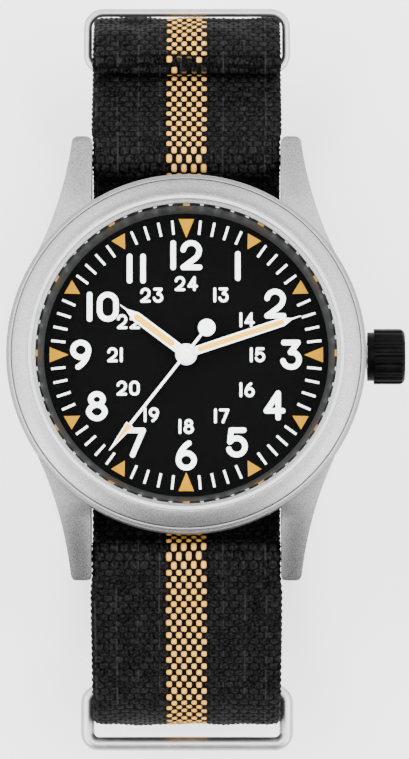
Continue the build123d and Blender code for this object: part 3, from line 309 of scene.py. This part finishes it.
class Finish:
    """A material whose nodes come from one method and whose constants stay on its sockets."""

    def __init__(self, name, **constants):
        self.material = bpy.data.materials.new(name)
        self.material.use_nodes = True
        self.tree = self.material.node_tree
        self.surface = self.tree.nodes["Principled BSDF"]
        for socket, value in constants.items():
            self.surface.inputs[socket.replace("_", " ")].default_value = value

    def add(self, kind, settings, inputs, output=0):
        """A node with its settings made first and its inputs set or linked, as one of its outputs."""
        node = self.tree.nodes.new(kind)
        for key, value in settings.items():
            setattr(node, key, value)
        for key, value in inputs.items():
            if isinstance(value, Field):
                self.tree.links.new(value.socket, node.inputs[key])
            else:
                node.inputs[key].default_value = value
        return Field(self, node.outputs[output])

    def drive(self, socket, field):
        """The surface takes one of its values from a field."""
        self.tree.links.new(field.socket, self.surface.inputs[socket])

    def place(self, centre=(0, 0, 0)):
        """Object coordinates measured from a point, in metres."""
        coordinates = self.add("ShaderNodeTexCoord", {}, {}, "Object")
        settings = {"vector_type": "TEXTURE"}
        return self.add("ShaderNodeMapping", settings, {"Vector": coordinates, "Location": centre})

    def axes(self, vector):
        node = self.add("ShaderNodeSeparateXYZ", {}, {"Vector": vector}).socket.node
        return [Field(self, output) for output in node.outputs]

    def vector(self, x, y, z=0):
        return self.add("ShaderNodeCombineXYZ", {}, {"X": x, "Y": y, "Z": z})

    def grain(self, vector, scale=1.0, detail=2, roughness=0.5):
        """Smooth noise from 0 to 1, with its scale in waves per metre where the vector is a place."""
        inputs = {"Vector": vector, "Scale": scale, "Detail": detail, "Roughness": roughness}
        return self.add("ShaderNodeTexNoise", {}, inputs)

    def speck(self, vector):
        """Random number from 0 to 1 for each place."""
        return self.add("ShaderNodeTexWhiteNoise", {}, {"Vector": vector})

    def tint(self, amount, first, second):
        """Colour that goes from the first to the second as the amount goes from 0 to 1."""
        inputs = {"Factor": amount, "A": first, "B": second}
        return self.add("ShaderNodeMix", {"data_type": "RGBA"}, inputs, 2)

    def relief(self, height, depth, strength):
        """The surface takes a bump of a depth in millimetres."""
        inputs = {"Height": height, "Distance": depth * MM, "Strength": strength}
        self.drive("Normal", self.add("ShaderNodeBump", {}, inputs))


def grey(value):
    return value, value, value, 1


def radius_from(x, y):
    """Distance from the axis that x and y are measured from."""
    return (x * x + y * y) ** 0.5


# Finishes
def blasted_steel():
    """Bead-blasted case steel: fine grey pits, softly varied shine, and painted shade that darkens the lugs."""
    pit_scale, cloud_scale = 9000, 160
    lug_shade_start, lug_shade_end = 13, 22
    finish = Finish("blasted_steel", Metallic=1.0)
    place = finish.place()
    pits = finish.grain(place, pit_scale, 3, 0.6)
    clouds = finish.grain(place, cloud_scale, 3)
    _, y, _ = finish.axes(finish.place((0, DIAL_Y, 0)))
    # Painted shade: the lugs' colour darkens away from the case, where they slope away from the light.
    lug_shade = (y.size() / MM).step(lug_shade_start, lug_shade_end)
    lightness = 0.4 + 0.6 * pits.step(0.3, 0.7) - 0.4 * lug_shade
    finish.drive("Base Color", finish.tint(lightness, grey(0.07), grey(0.28)))
    finish.drive("Roughness", 0.3 + 0.1 * clouds + 0.1 * pits)
    finish.relief(pits, 0.014, 0.7)
    return finish.material


def polished_steel():
    """Steel with faint drawn lines and a few handling marks."""
    line_scale, line_stretch, mark_scale = 2500, 40, 700
    finish = Finish("polished_steel", Metallic=1.0)
    place = finish.place()
    x, y, z = finish.axes(place)
    lines = finish.grain(finish.vector(x * line_stretch, y * line_scale, z * line_scale))
    marks = finish.grain(place, mark_scale, 4, 0.65)
    finish.drive("Base Color", finish.tint(marks, grey(0.28), grey(0.37)))
    finish.drive("Roughness", 0.36 + 0.08 * lines + 0.08 * marks.step(0.5, 0.75))
    finish.relief(lines, 0.003, 0.4)
    return finish.material


def crown_black():
    """Black coated crown, a little rubbed."""
    wear_scale, tooth_scale = 900, 8000
    finish = Finish("crown_black", Specular_IOR_Level=0.035)
    place = finish.place()
    wear = finish.grain(place, wear_scale, 4, 0.6)
    finish.drive("Base Color", finish.tint(wear.step(0.45, 0.8), grey(0.0006), grey(0.002)))
    finish.drive("Roughness", 0.34 + 0.14 * wear)
    finish.relief(finish.grain(place, tooth_scale), 0.006, 0.4)
    return finish.material


def dial_black():
    """Matte black dial paint with a very fine tooth."""
    tooth_scale = 16000
    finish = Finish("dial_black", Specular_IOR_Level=0.006)
    tooth = finish.grain(finish.place(), tooth_scale)
    finish.drive("Base Color", finish.tint(tooth, grey(0.0014), grey(0.0022)))
    finish.drive("Roughness", 0.6 + 0.15 * tooth)
    finish.relief(tooth, 0.004, 0.5)
    return finish.material


def paint(name, first, second, roughness, grain_scale=9000, depth=0.004, gloss=0.5):
    """Opaque paint, print or moulded plastic that varies between two near colours."""
    finish = Finish(name, Specular_IOR_Level=gloss)
    grain = finish.grain(finish.place(), grain_scale, 3, 0.6)
    finish.drive("Base Color", finish.tint(grain, first, second))
    finish.drive("Roughness", roughness + 0.1 * grain)
    finish.relief(grain, depth, 0.5)
    return finish.material


def dial_ring_finish():
    """Dark turned ring; its top edge carries a painted reflection of the dial's minute track seen through the
    crystal's rim: a white dot at each minute and a tan bar at each hour.
    """
    edge_radius, reflected_dot_radius = 15.72, 15.8
    reflected_dot_share, reflected_bar_share = 0.11, 0.042
    grooves, shades = 14, 30
    finish = Finish("dial_ring_grey", Metallic=0.7)
    x, y, _ = finish.axes(finish.place((DIAL_X, DIAL_Y, 0)))
    radius = radius_from(x, y) / MM
    angle = x.maths("ARCTAN2", y) / (2 * pi) + 1
    minute = (angle * 60 + 0.5).part() - 0.5
    hour = (angle * 12 + 0.5).part() - 0.5
    turned = finish.grain(finish.vector(radius * grooves, 0))
    shade = finish.grain(finish.vector(angle * shades, 0), detail=3)
    metal = finish.tint(turned * 0.4 + shade * 0.6, grey(0.022), grey(0.085))
    # Painted reflection: the dial's minute track as seen through the crystal's rim, a white dot at each minute and
    # a tan bar at each hour.
    reflected_dots = minute.size().below(reflected_dot_share) * radius.above(reflected_dot_radius)
    edge = finish.tint(reflected_dots, grey(0.004), grey(0.9))
    edge = finish.tint(hour.size().below(reflected_bar_share), edge, (0.5, 0.34, 0.16, 1))
    finish.drive("Base Color", finish.tint(radius.above(edge_radius), metal, edge))
    finish.drive("Roughness", 0.36 + 0.12 * turned)
    finish.relief(turned, 0.01, 0.4)
    return finish.material


def crystal_glass():
    """Clear coated crystal: a mirror gloss that grows towards grazing views over a clear film."""
    grazing_gloss, falloff = 0.3, 6
    finish = Finish("crystal_glass")
    gloss = finish.add("ShaderNodeBsdfGlossy", {}, {"Color": grey(1), "Roughness": 0.02})
    clear = finish.add("ShaderNodeBsdfTransparent", {}, {"Color": (0.985, 0.992, 0.99, 1)})
    facing = finish.add("ShaderNodeLayerWeight", {}, {"Blend": 0.5}, "Facing")
    amount = facing ** falloff * grazing_gloss
    mixed = finish.add("ShaderNodeMixShader", {}, {0: amount, 1: clear, 2: gloss})
    finish.tree.links.new(mixed.socket, finish.tree.nodes["Material Output"].inputs["Surface"])
    finish.tree.nodes.remove(finish.surface)
    return finish.material


def woven_finish():
    """Webbing: yarn floats in a plain weave, wide black ones and narrower tan ones in the middle stripe.

    The weave map counts columns across and rows along. Each float spans two columns of one row, and the
    floats of the next row lie a column to the side.
    """
    stripe_start = columns / 2 - stripe_columns / 2
    stripe_end = columns / 2 + stripe_columns / 2
    black_low, black_high, black_glint = grey(0.0001), grey(0.0138), grey(0.017)
    tan_low, tan_high = (0.11, 0.045, 0.006, 1), (0.56, 0.31, 0.06, 1)
    glint_shift, glint_rate, glint_share = 1.3, 0.235, 0.035
    finish = Finish("strap_webbing", Specular_IOR_Level=0.01)
    u, v, _ = finish.axes(finish.add("ShaderNodeUVMap", {"uv_map": "weave"}, {}))
    wear = finish.add("ShaderNodeAttribute", {"attribute_name": "wear"}, {}, "Fac")
    row = v.whole()
    yarn_across = (u + 0.5 - row.odd()) / 2
    centre = yarn_across.whole() * 2 + 0.5 + row.odd()
    yarn_speck = finish.speck(finish.vector(centre, row))
    across = ((yarn_across + 4).part() - 0.5).size()
    along = ((v + 4).part() - 0.5).size()
    stripe = centre.above(stripe_start) * centre.below(stripe_end)
    across_scale = 2.1 + 1.05 * stripe + 0.35 * yarn_speck
    along_scale = 1.95 + 0.25 * yarn_speck + wear * 0.9
    shape = 1 - ((across * across_scale) ** 3.2 + (along * along_scale) ** 3.4)
    yarn = shape.step(-0.02, 0.22)
    dome = shape.maths("MAXIMUM", 0) ** 0.5
    fibres = finish.grain(finish.vector(u * 9, v * 1.1), detail=3, roughness=0.6)
    patch = finish.grain(finish.vector(u * 0.35, v * 0.35))
    tufts = finish.grain(finish.vector(u * 2.1, v * 2.6), detail=4, roughness=0.75)
    # Painted sheen on the black yarn: brighter over random tufts and patches, weaker in the gaps between floats.
    shine = (0.3 + 0.7 * yarn) * (tufts.step(0.4, 0.68) * 0.75 + 0.2 * yarn_speck + 0.5 * patch - 0.27)
    line = ((u + glint_shift) * glint_rate).part() - 0.5
    glint = line.size().below(glint_share) * yarn_speck.above(0.5) * tufts
    dark = finish.tint(glint, finish.tint(shine, black_low, black_high), black_glint)
    # Tan yarn in random tone, painted lighter on each float's domed top and darker at its sides as painted shade.
    light = finish.tint(0.2 * yarn_speck + 0.6 * tufts + 0.9 * dome * dome - 0.35, tan_low, tan_high)
    shown = stripe * yarn * (1 - wear * yarn_speck.above(0.45))
    finish.drive("Base Color", finish.tint(shown, dark, light))
    finish.drive("Roughness", 0.66 - 0.12 * yarn)
    finish.relief(dome + 0.16 * fibres, 0.15, 0.8)
    return finish.material


def thread_finish():
    """Black sewing thread with its twist."""
    twist_pitch = 0.22
    finish = Finish("strap_thread", Roughness=0.6, Specular_IOR_Level=0.1)
    x, y, z = finish.axes(finish.place())
    twist = ((x * 3 + y + z) / (twist_pitch * MM) * 0.5).maths("SINE")
    # The colour follows the twist's relief: painted highlight on its crests and painted shade in its hollows.
    finish.drive("Base Color", finish.tint(twist * 0.5 + 0.5, grey(0.002), grey(0.012)))
    finish.relief(twist, 0.04, 0.7)
    return finish.material


def turned_metal(name, first, second, rings, centre=(0, 0, 0)):
    """Metal of the movement with fine turned rings about a centre."""
    finish = Finish(name, Metallic=1.0)
    x, y, _ = finish.axes(finish.place(centre))
    lines = finish.grain(finish.vector(radius_from(x, y) * rings, 0))
    finish.drive("Base Color", finish.tint(lines, first, second))
    finish.drive("Roughness", 0.22 + 0.16 * lines)
    finish.relief(lines, 0.004, 0.4)
    return finish.material


def copper_winding():
    """Enamelled wire wound side by side."""
    wire = 0.09
    finish = Finish("winding_copper", Metallic=0.9, Coat_Weight=0.5)
    x, _, _ = finish.axes(finish.place())
    turn = ((x / (wire * MM)).part() - 0.5).size() * 2
    # Each wire's colour darkens from its crest into the grooves between turns: painted shade.
    finish.drive("Base Color", finish.tint(turn, (0.75, 0.32, 0.14, 1), (0.2, 0.06, 0.03, 1)))
    finish.drive("Roughness", 0.25 + 0.2 * turn)
    finish.relief(1 - turn * turn, 0.03, 0.8)
    return finish.material


def circuit_green():
    """Lacquered board with copper tracks."""
    lane_pitch, cross_pitch = 0.8, 1.7
    lane_share, cross_share = 0.14, 0.07
    finish = Finish("board_green", Coat_Weight=0.4)
    x, y, _ = finish.axes(finish.place())
    lane = (y / (lane_pitch * MM)).part() - 0.5
    cross = (x / (cross_pitch * MM)).part() - 0.5
    track = lane.size().below(lane_share).maths("MAXIMUM", cross.size().below(cross_share))
    finish.drive("Base Color", finish.tint(track, (0.006, 0.05, 0.02, 1), (0.02, 0.16, 0.06, 1)))
    finish.drive("Roughness", 0.35 + 0.1 * track)
    finish.relief(track, 0.02, 0.5)
    return finish.material


def floor_pale():
    """Plain pale floor, a little uneven in tone."""
    mottle_scale = 60
    finish = Finish("floor_pale", Roughness=0.75)
    mottle = finish.grain(finish.place(), mottle_scale, 3)
    finish.drive("Base Color", finish.tint(mottle, grey(0.74), grey(0.78)))
    return finish.material


def finishes():
    """One material for each slot of the record."""
    gold_low, gold_high = (0.28, 0.13, 0.0, 1), (0.37, 0.175, 0.0, 1)
    lume_low, lume_high = (0.68, 0.33, 0.0, 1), (0.82, 0.42, 0.01, 1)
    brass_low, brass_high = (0.7, 0.5, 0.2, 1), (0.85, 0.66, 0.32, 1)
    return {
        "case_steel": blasted_steel(),
        "polished_steel": polished_steel(),
        "crystal_glass": crystal_glass(),
        "gasket_nylon": paint("gasket_nylon", grey(0.3), grey(0.4), 0.45),
        "seal_rubber": paint("seal_rubber", grey(0.008), grey(0.02), 0.7),
        "dial_ring_grey": dial_ring_finish(),
        "dial_black": dial_black(),
        "print_white": paint("print_white", grey(0.93), grey(0.98), 0.5),
        "marker_gold": paint("marker_gold", gold_low, gold_high, 0.5, gloss=0.05),
        "holder_plastic": paint("holder_plastic", grey(0.5), grey(0.6), 0.5),
        "crown_black": crown_black(),
        "hand_white": paint("hand_white", grey(0.86), grey(0.95), 0.3),
        "lume_tan": paint("lume_tan", lume_low, lume_high, 0.7, grain_scale=6000, depth=0.01, gloss=0.05),
        "wheel_brass": turned_metal("wheel_brass", brass_low, brass_high, 5200),
        "movement_plate": turned_metal("movement_plate", grey(0.5), grey(0.62), 1600, (DIAL_X, DIAL_Y, 0)),
        "motor_iron": turned_metal("motor_iron", grey(0.3), grey(0.4), 900),
        "winding_copper": copper_winding(),
        "board_green": circuit_green(),
        "strap_webbing": woven_finish(),
        "strap_thread": thread_finish(),
    }


FINISHES = finishes()


# Pieces
def in_scene(name, bm):
    """Object of a shape, linked to the scene."""
    mesh = bpy.data.meshes.new(name)
    bm.to_mesh(mesh)
    bm.free()
    piece = bpy.data.objects.new(name, mesh)
    bpy.context.scene.collection.objects.link(piece)
    return piece


def stand_in(name, bm, node):
    """Piece that is seen for a CAD node, with that node's body and finish."""
    piece = in_scene(name, bm)
    piece.data.materials.append(FINISHES[SLOT_OF[node]])
    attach(piece, BODY_OF[node])
    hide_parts(node)
    return piece


def cut_away(piece, cutters):
    """The piece loses what lies inside the cutters' shapes."""
    cutter = in_scene("strap_cutters", cutters)
    knife = piece.modifiers.new("holes", "BOOLEAN")
    knife.operation = "DIFFERENCE"
    knife.solver = "MANIFOLD"
    knife.object = cutter
    graph = bpy.context.evaluated_depsgraph_get()
    made = bpy.data.meshes.new_from_object(piece.evaluated_get(graph))
    piece.modifiers.clear()
    piece.data = made
    bpy.data.objects.remove(cutter)


def dress_node(node, edge_round):
    """A CAD node's shape with joined faces, smooth curves and slightly broken edges."""
    join_gap, flat_angle, corner_angle = 0.002, radians(0.4), radians(32)
    bm = bmesh.new()
    bm.from_mesh(frame["nodes"][node].data)
    bmesh.ops.remove_doubles(bm, verts=bm.verts[:], dist=join_gap * MM)
    bmesh.ops.dissolve_limit(
        bm, angle_limit=flat_angle, use_dissolve_boundaries=False, verts=bm.verts[:], edges=bm.edges[:],
    )
    if edge_round:
        edges = [
            edge for edge in bm.edges
            if len(edge.link_faces) == 2 and edge.calc_face_angle(0) > corner_angle
        ]
        bmesh.ops.bevel(
            bm, geom=edges, offset=edge_round * MM, offset_type="OFFSET", affect="EDGES",
            segments=2, profile=0.5, material=-1, clamp_overlap=True,
        )
    for face in bm.faces:
        face.smooth = True
    for edge in bm.edges:
        edge.smooth = len(edge.link_faces) == 2 and edge.calc_face_angle(0) < corner_angle
    stand_in(f"{node}_finished", bm, node)


def row_places(route):
    """Number of rows, and each half row's distance along the route: rows lie closer where it runs level."""
    longest_step = 0.05
    count = ceil(route.length / longest_step)
    step = route.length / count
    reached = [0]
    for index in range(count):
        _, heading = route.at((index + 0.5) * step)
        pitch = closest_pitch + (row_pitch - closest_pitch) * abs(sin(heading))
        reached.append(reached[-1] + step / pitch)
    rows = round(reached[-1])
    places = []
    index = 0
    for half_row in range(2 * rows + 1):
        wanted = half_row / 2 * reached[-1] / rows
        while index < count - 1 and reached[index + 1] < wanted:
            index += 1
        part = (wanted - reached[index]) / (reached[index + 1] - reached[index])
        places.append((index + min(part, 1)) * step)
    return rows, places


def band_section():
    """Columns round one section of the webbing, each with its side: along the outer face and back inside."""
    outer = [(step / 2, 1) for step in range(2 * columns + 1)]
    inner = [(column + 0.5, -1) for column in reversed(range(columns))]
    return outer + inner + outer[:1]


def wander(spot, crowding=1.0, apart=(0, 0, 0)):
    """Smooth unevenness from -1 to 1 at a spot of the webbing."""
    return noise.noise(spot * crowding + Vector(apart))


def woven_place(route, distance, rows, u, v, side):
    """Place of the webbing's face at a column and row, and the point of the route beneath it."""
    share = 2 * u / columns - 1
    spot = Vector((share * strap_width / 2, v * row_pitch, 0)) / lay_wander_pitch
    ends = min(1, v, rows - v)
    shift = lay_wander * wander(spot) * ends
    point, heading = route.at(min(max(distance + shift, 0), route.length))
    free = min(max((abs(point.x) - between_lugs_y) / widening_run, 0), 1)
    x = share * (strap_width / 2 + free_spread * free)
    if abs(share) == 1:
        # Both faces meet in the outermost column, which waves with the rows
        out = 0
        x += edge_scallop * cos(2 * pi * v) * share
    else:
        rise = sin(pi * u) * sin(pi * v)
        rise *= weave_relief if rise > 0 else weave_relief * hollow_share
        out = side * (weave_core * (1 - abs(share) ** edge_power) ** 0.5 + rise)
    out += surface_wander * wander(spot, *surface_noise)
    if side > 0 and abs(point.x) > fold_y:
        out += edge_wander * wander(spot, *edge_noise) * ends
    if point.x > return_reach + tail_pitch / 2:
        out += keeper_bulge * max(0, 1 - ((point.y - keeper_z) / keeper_bulge_height) ** 2)
    y = point.x + sin(heading) * out
    z = point.y - cos(heading) * out
    return (DIAL_X + x * MM, DIAL_Y + y * MM, z * MM), point


def woven_band(name, node, corners, crease=None, crease_reach=2.0):
    """Webbing along a route: a grid wrapped round the flat section, worn near a crease if it has one."""
    join_gap = 0.001
    route = Route(corners)
    rows, distances = row_places(route)
    section = band_section()
    around, along = len(section) - 1, 2 * rows
    bm = bmesh.new()
    bmesh.ops.create_grid(bm, x_segments=around, y_segments=along, size=0.5)
    weave = bm.loops.layers.uv.new("weave")
    wear = bm.verts.layers.float.new("wear")
    cells = {}
    for vert in bm.verts:
        cells[vert] = (round((vert.co.x + 0.5) * around), round((vert.co.y + 0.5) * along))
    for face in bm.faces:
        face.smooth = True
        for loop in face.loops:
            spot, half_row = cells[loop.vert]
            loop[weave].uv = (section[spot][0], half_row / 2)
    for vert, (spot, half_row) in cells.items():
        u, side = section[spot]
        vert.co, point = woven_place(route, distances[half_row], rows, u, half_row / 2, side)
        if crease:
            vert[wear] = min(max(crease_reach - (point - Vector(crease)).length, 0), 1)
    bmesh.ops.remove_doubles(bm, verts=bm.verts[:], dist=join_gap * MM)
    rims = [edge for edge in bm.edges if edge.is_boundary]
    bmesh.ops.holes_fill(bm, edges=rims, sides=0)
    bmesh.ops.recalc_face_normals(bm, faces=bm.faces[:])
    return stand_in(name, bm, node)


def long_strap():
    """The long strap, worn at the tail's fold, with its tongue slot and the holes in its lower layer."""
    outer_fold_y, outer_fold_z = slope_point(fold_offset, fold_down)
    crease_in, crease_up = 0.2, 0.4
    crease = outer_fold_y - crease_in, outer_fold_z + crease_up
    piece = woven_band("woven_long_strap", "long_strap", long_strap_corners(), crease)
    bm = bmesh.new()
    for step in (-2, -1, 0, 1, 2):
        stretch = hole_length / 2 / hole_radius if step == 0 else 1
        hole_y = tongue_hole_y + tongue_play / 3 + step * hole_pitch
        spot = Matrix.Translation((DIAL_X, DIAL_Y + hole_y * MM, strap_bottom_z * MM))
        bmesh.ops.create_cone(
            bm, cap_ends=True, segments=28, radius1=hole_radius * MM, radius2=hole_radius * MM,
            depth=2 * webbing * MM, matrix=spot @ Matrix.Scale(stretch, 4, (0, 1, 0)),
        )
    slot_start = buckle_bar_y - loop_radius - webbing
    slot_end = buckle_bar_y + loop_radius + webbing / 2
    slot_low = strap_bottom_z + webbing / 2 + slot_gap
    slot_high = arm_z + webbing
    size = Vector((slot_width, slot_end - slot_start, slot_high - slot_low)) * MM
    spot = Vector((DIAL_X, DIAL_Y + (slot_start + slot_end) / 2 * MM, (slot_low + slot_high) / 2 * MM))
    bmesh.ops.create_cube(bm, size=1, matrix=Matrix.Translation(spot) @ Matrix.Diagonal((*size, 1)))
    cut_away(piece, bm)


def stitching():
    """Short rounded stitches sunk into the webbing: two rows at each fold and one at the strip's seam."""
    length, width, height = 1.5, 0.35, 0.3
    count = 9
    row_shares = (0.3, 0.7)
    reach_12 = strap_reach_12 - layer_pitch
    fold_end_y = -(strap_reach_6 - layer_pitch) + layer_pitch
    rows = []
    for share in row_shares:
        rows.append(((arm_end_y - share * length, arm_end_z + webbing / 2), 0))
        rows.append(((fold_end_y + webbing / 2, fold_end_z - share * length - width / 2), 1))
    rows.append(((reach_12 - webbing / 2, seam_z + 1.5 * width), 1))
    bm = bmesh.new()
    for (y, z), upright in rows:
        for step in range(count):
            x = -strap_width / 2 + length + step * (strap_width - 2 * length) / (count - 1)
            spot = Matrix.Translation((DIAL_X + x * MM, DIAL_Y + y * MM, z * MM))
            turn = Matrix.Rotation(radians(90) * upright, 4, "X")
            shape = Matrix.Diagonal((length / 2 * MM, width / 2 * MM, height / 2 * MM, 1))
            bmesh.ops.create_uvsphere(bm, u_segments=10, v_segments=6, radius=1, matrix=spot @ turn @ shape)
    for face in bm.faces:
        face.smooth = True
    stand_in("sewn_stitches", bm, "strap_stitching")


# Studio
def pale_floor():
    """Wide pale floor under the watch."""
    floor_radius = 1.6
    bm = bmesh.new()
    bmesh.ops.create_circle(bm, cap_ends=True, segments=96, radius=floor_radius)
    piece = in_scene("floor", bm)
    piece.data.materials.append(floor_pale())


def aimed(name, data, place, target):
    """Lamp or camera that stands at a place and faces a point."""
    thing = bpy.data.objects.new(name, data)
    thing.location = place
    thing.rotation_euler = (Vector(target) - Vector(place)).to_track_quat("-Z", "Y").to_euler()
    bpy.context.scene.collection.objects.link(thing)
    return thing


def soft_light(name, place, size, power):
    """Rectangular soft light that faces the watch."""
    aim_height = 0.04
    data = bpy.data.lights.new(name, "AREA")
    data.shape = "RECTANGLE"
    data.size, data.size_y = size
    data.energy = power
    aimed(name, data, place, (DIAL_X, DIAL_Y, aim_height))


def studio():
    """Soft daylight: an even sky and wide lights overhead, behind, at both sides and at the four corners."""
    sky_strength = 0.62
    world = bpy.data.worlds.new("studio")
    world.use_nodes = True
    sky = world.node_tree.nodes["Background"].inputs
    sky["Color"].default_value = grey(1)
    sky["Strength"].default_value = sky_strength
    bpy.context.scene.world = world
    soft_light("overhead_light", (0, 0.04, 1.25), (2.0, 0.7), 40)
    soft_light("far_light", (0, 1.0, 0.58), (1.2, 0.5), 12.5)
    for side in (-1, 1):
        soft_light("side_light", (0.95 * side, -0.05, 0.68), (1.1, 0.8), 19)
        soft_light("far_corner_light", (0.72 * side, 0.72, 0.66), (0.8, 0.7), 10.5)
        soft_light("near_corner_light", (0.88 * side, -0.7, 0.72), (0.7, 0.7), 17)


def camera():
    """Camera of the photograph: almost straight above the dial, from the 6 o'clock side."""
    elevation = radians(84.5)
    distance = 560
    lens, film = 252.0, 36.0
    aim_right, aim_down = 1.93, 2.945
    bezel_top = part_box("bezel")[1].z
    target = Vector((DIAL_X + aim_right * MM, DIAL_Y - aim_down * MM, bezel_top))
    data = bpy.data.cameras.new("camera")
    data.lens = lens
    data.sensor_width = film
    place = target + distance * MM * Vector((0, -cos(elevation), sin(elevation)))
    bpy.context.scene.camera = aimed("camera", data, place, target)


# How far each piece's edges are broken, in millimetres; round wire has no edge to break
EDGE_ROUNDS = {
    "case_middle": 0.12, "bezel": 0.06, "case_back": 0.06, "crystal": 0.05, "crown": 0.05,
    "buckle_frame": 0.25, "buckle_bar": 0.05, "buckle_tongue": 0.15, "strap_ring": 0,
    "floating_keeper": 0, "fixed_keeper": 0, "hour_hand": 0.03, "minute_hand": 0.03,
    "seconds_hand": 0.03, "hour_hand_lume": 0.02, "minute_hand_lume": 0.02, "seconds_hand_lume": 0.02,
}

for node, shape in frame["nodes"].items():
    shape.data.materials.clear()
    shape.data.materials.append(FINISHES[SLOT_OF[node]])

for node, edge_round in EDGE_ROUNDS.items():
    dress_node(node, edge_round)

long_strap()
woven_band("woven_short_strip", "short_strip", short_strip_corners())
stitching()
pale_floor()
studio()
camera()
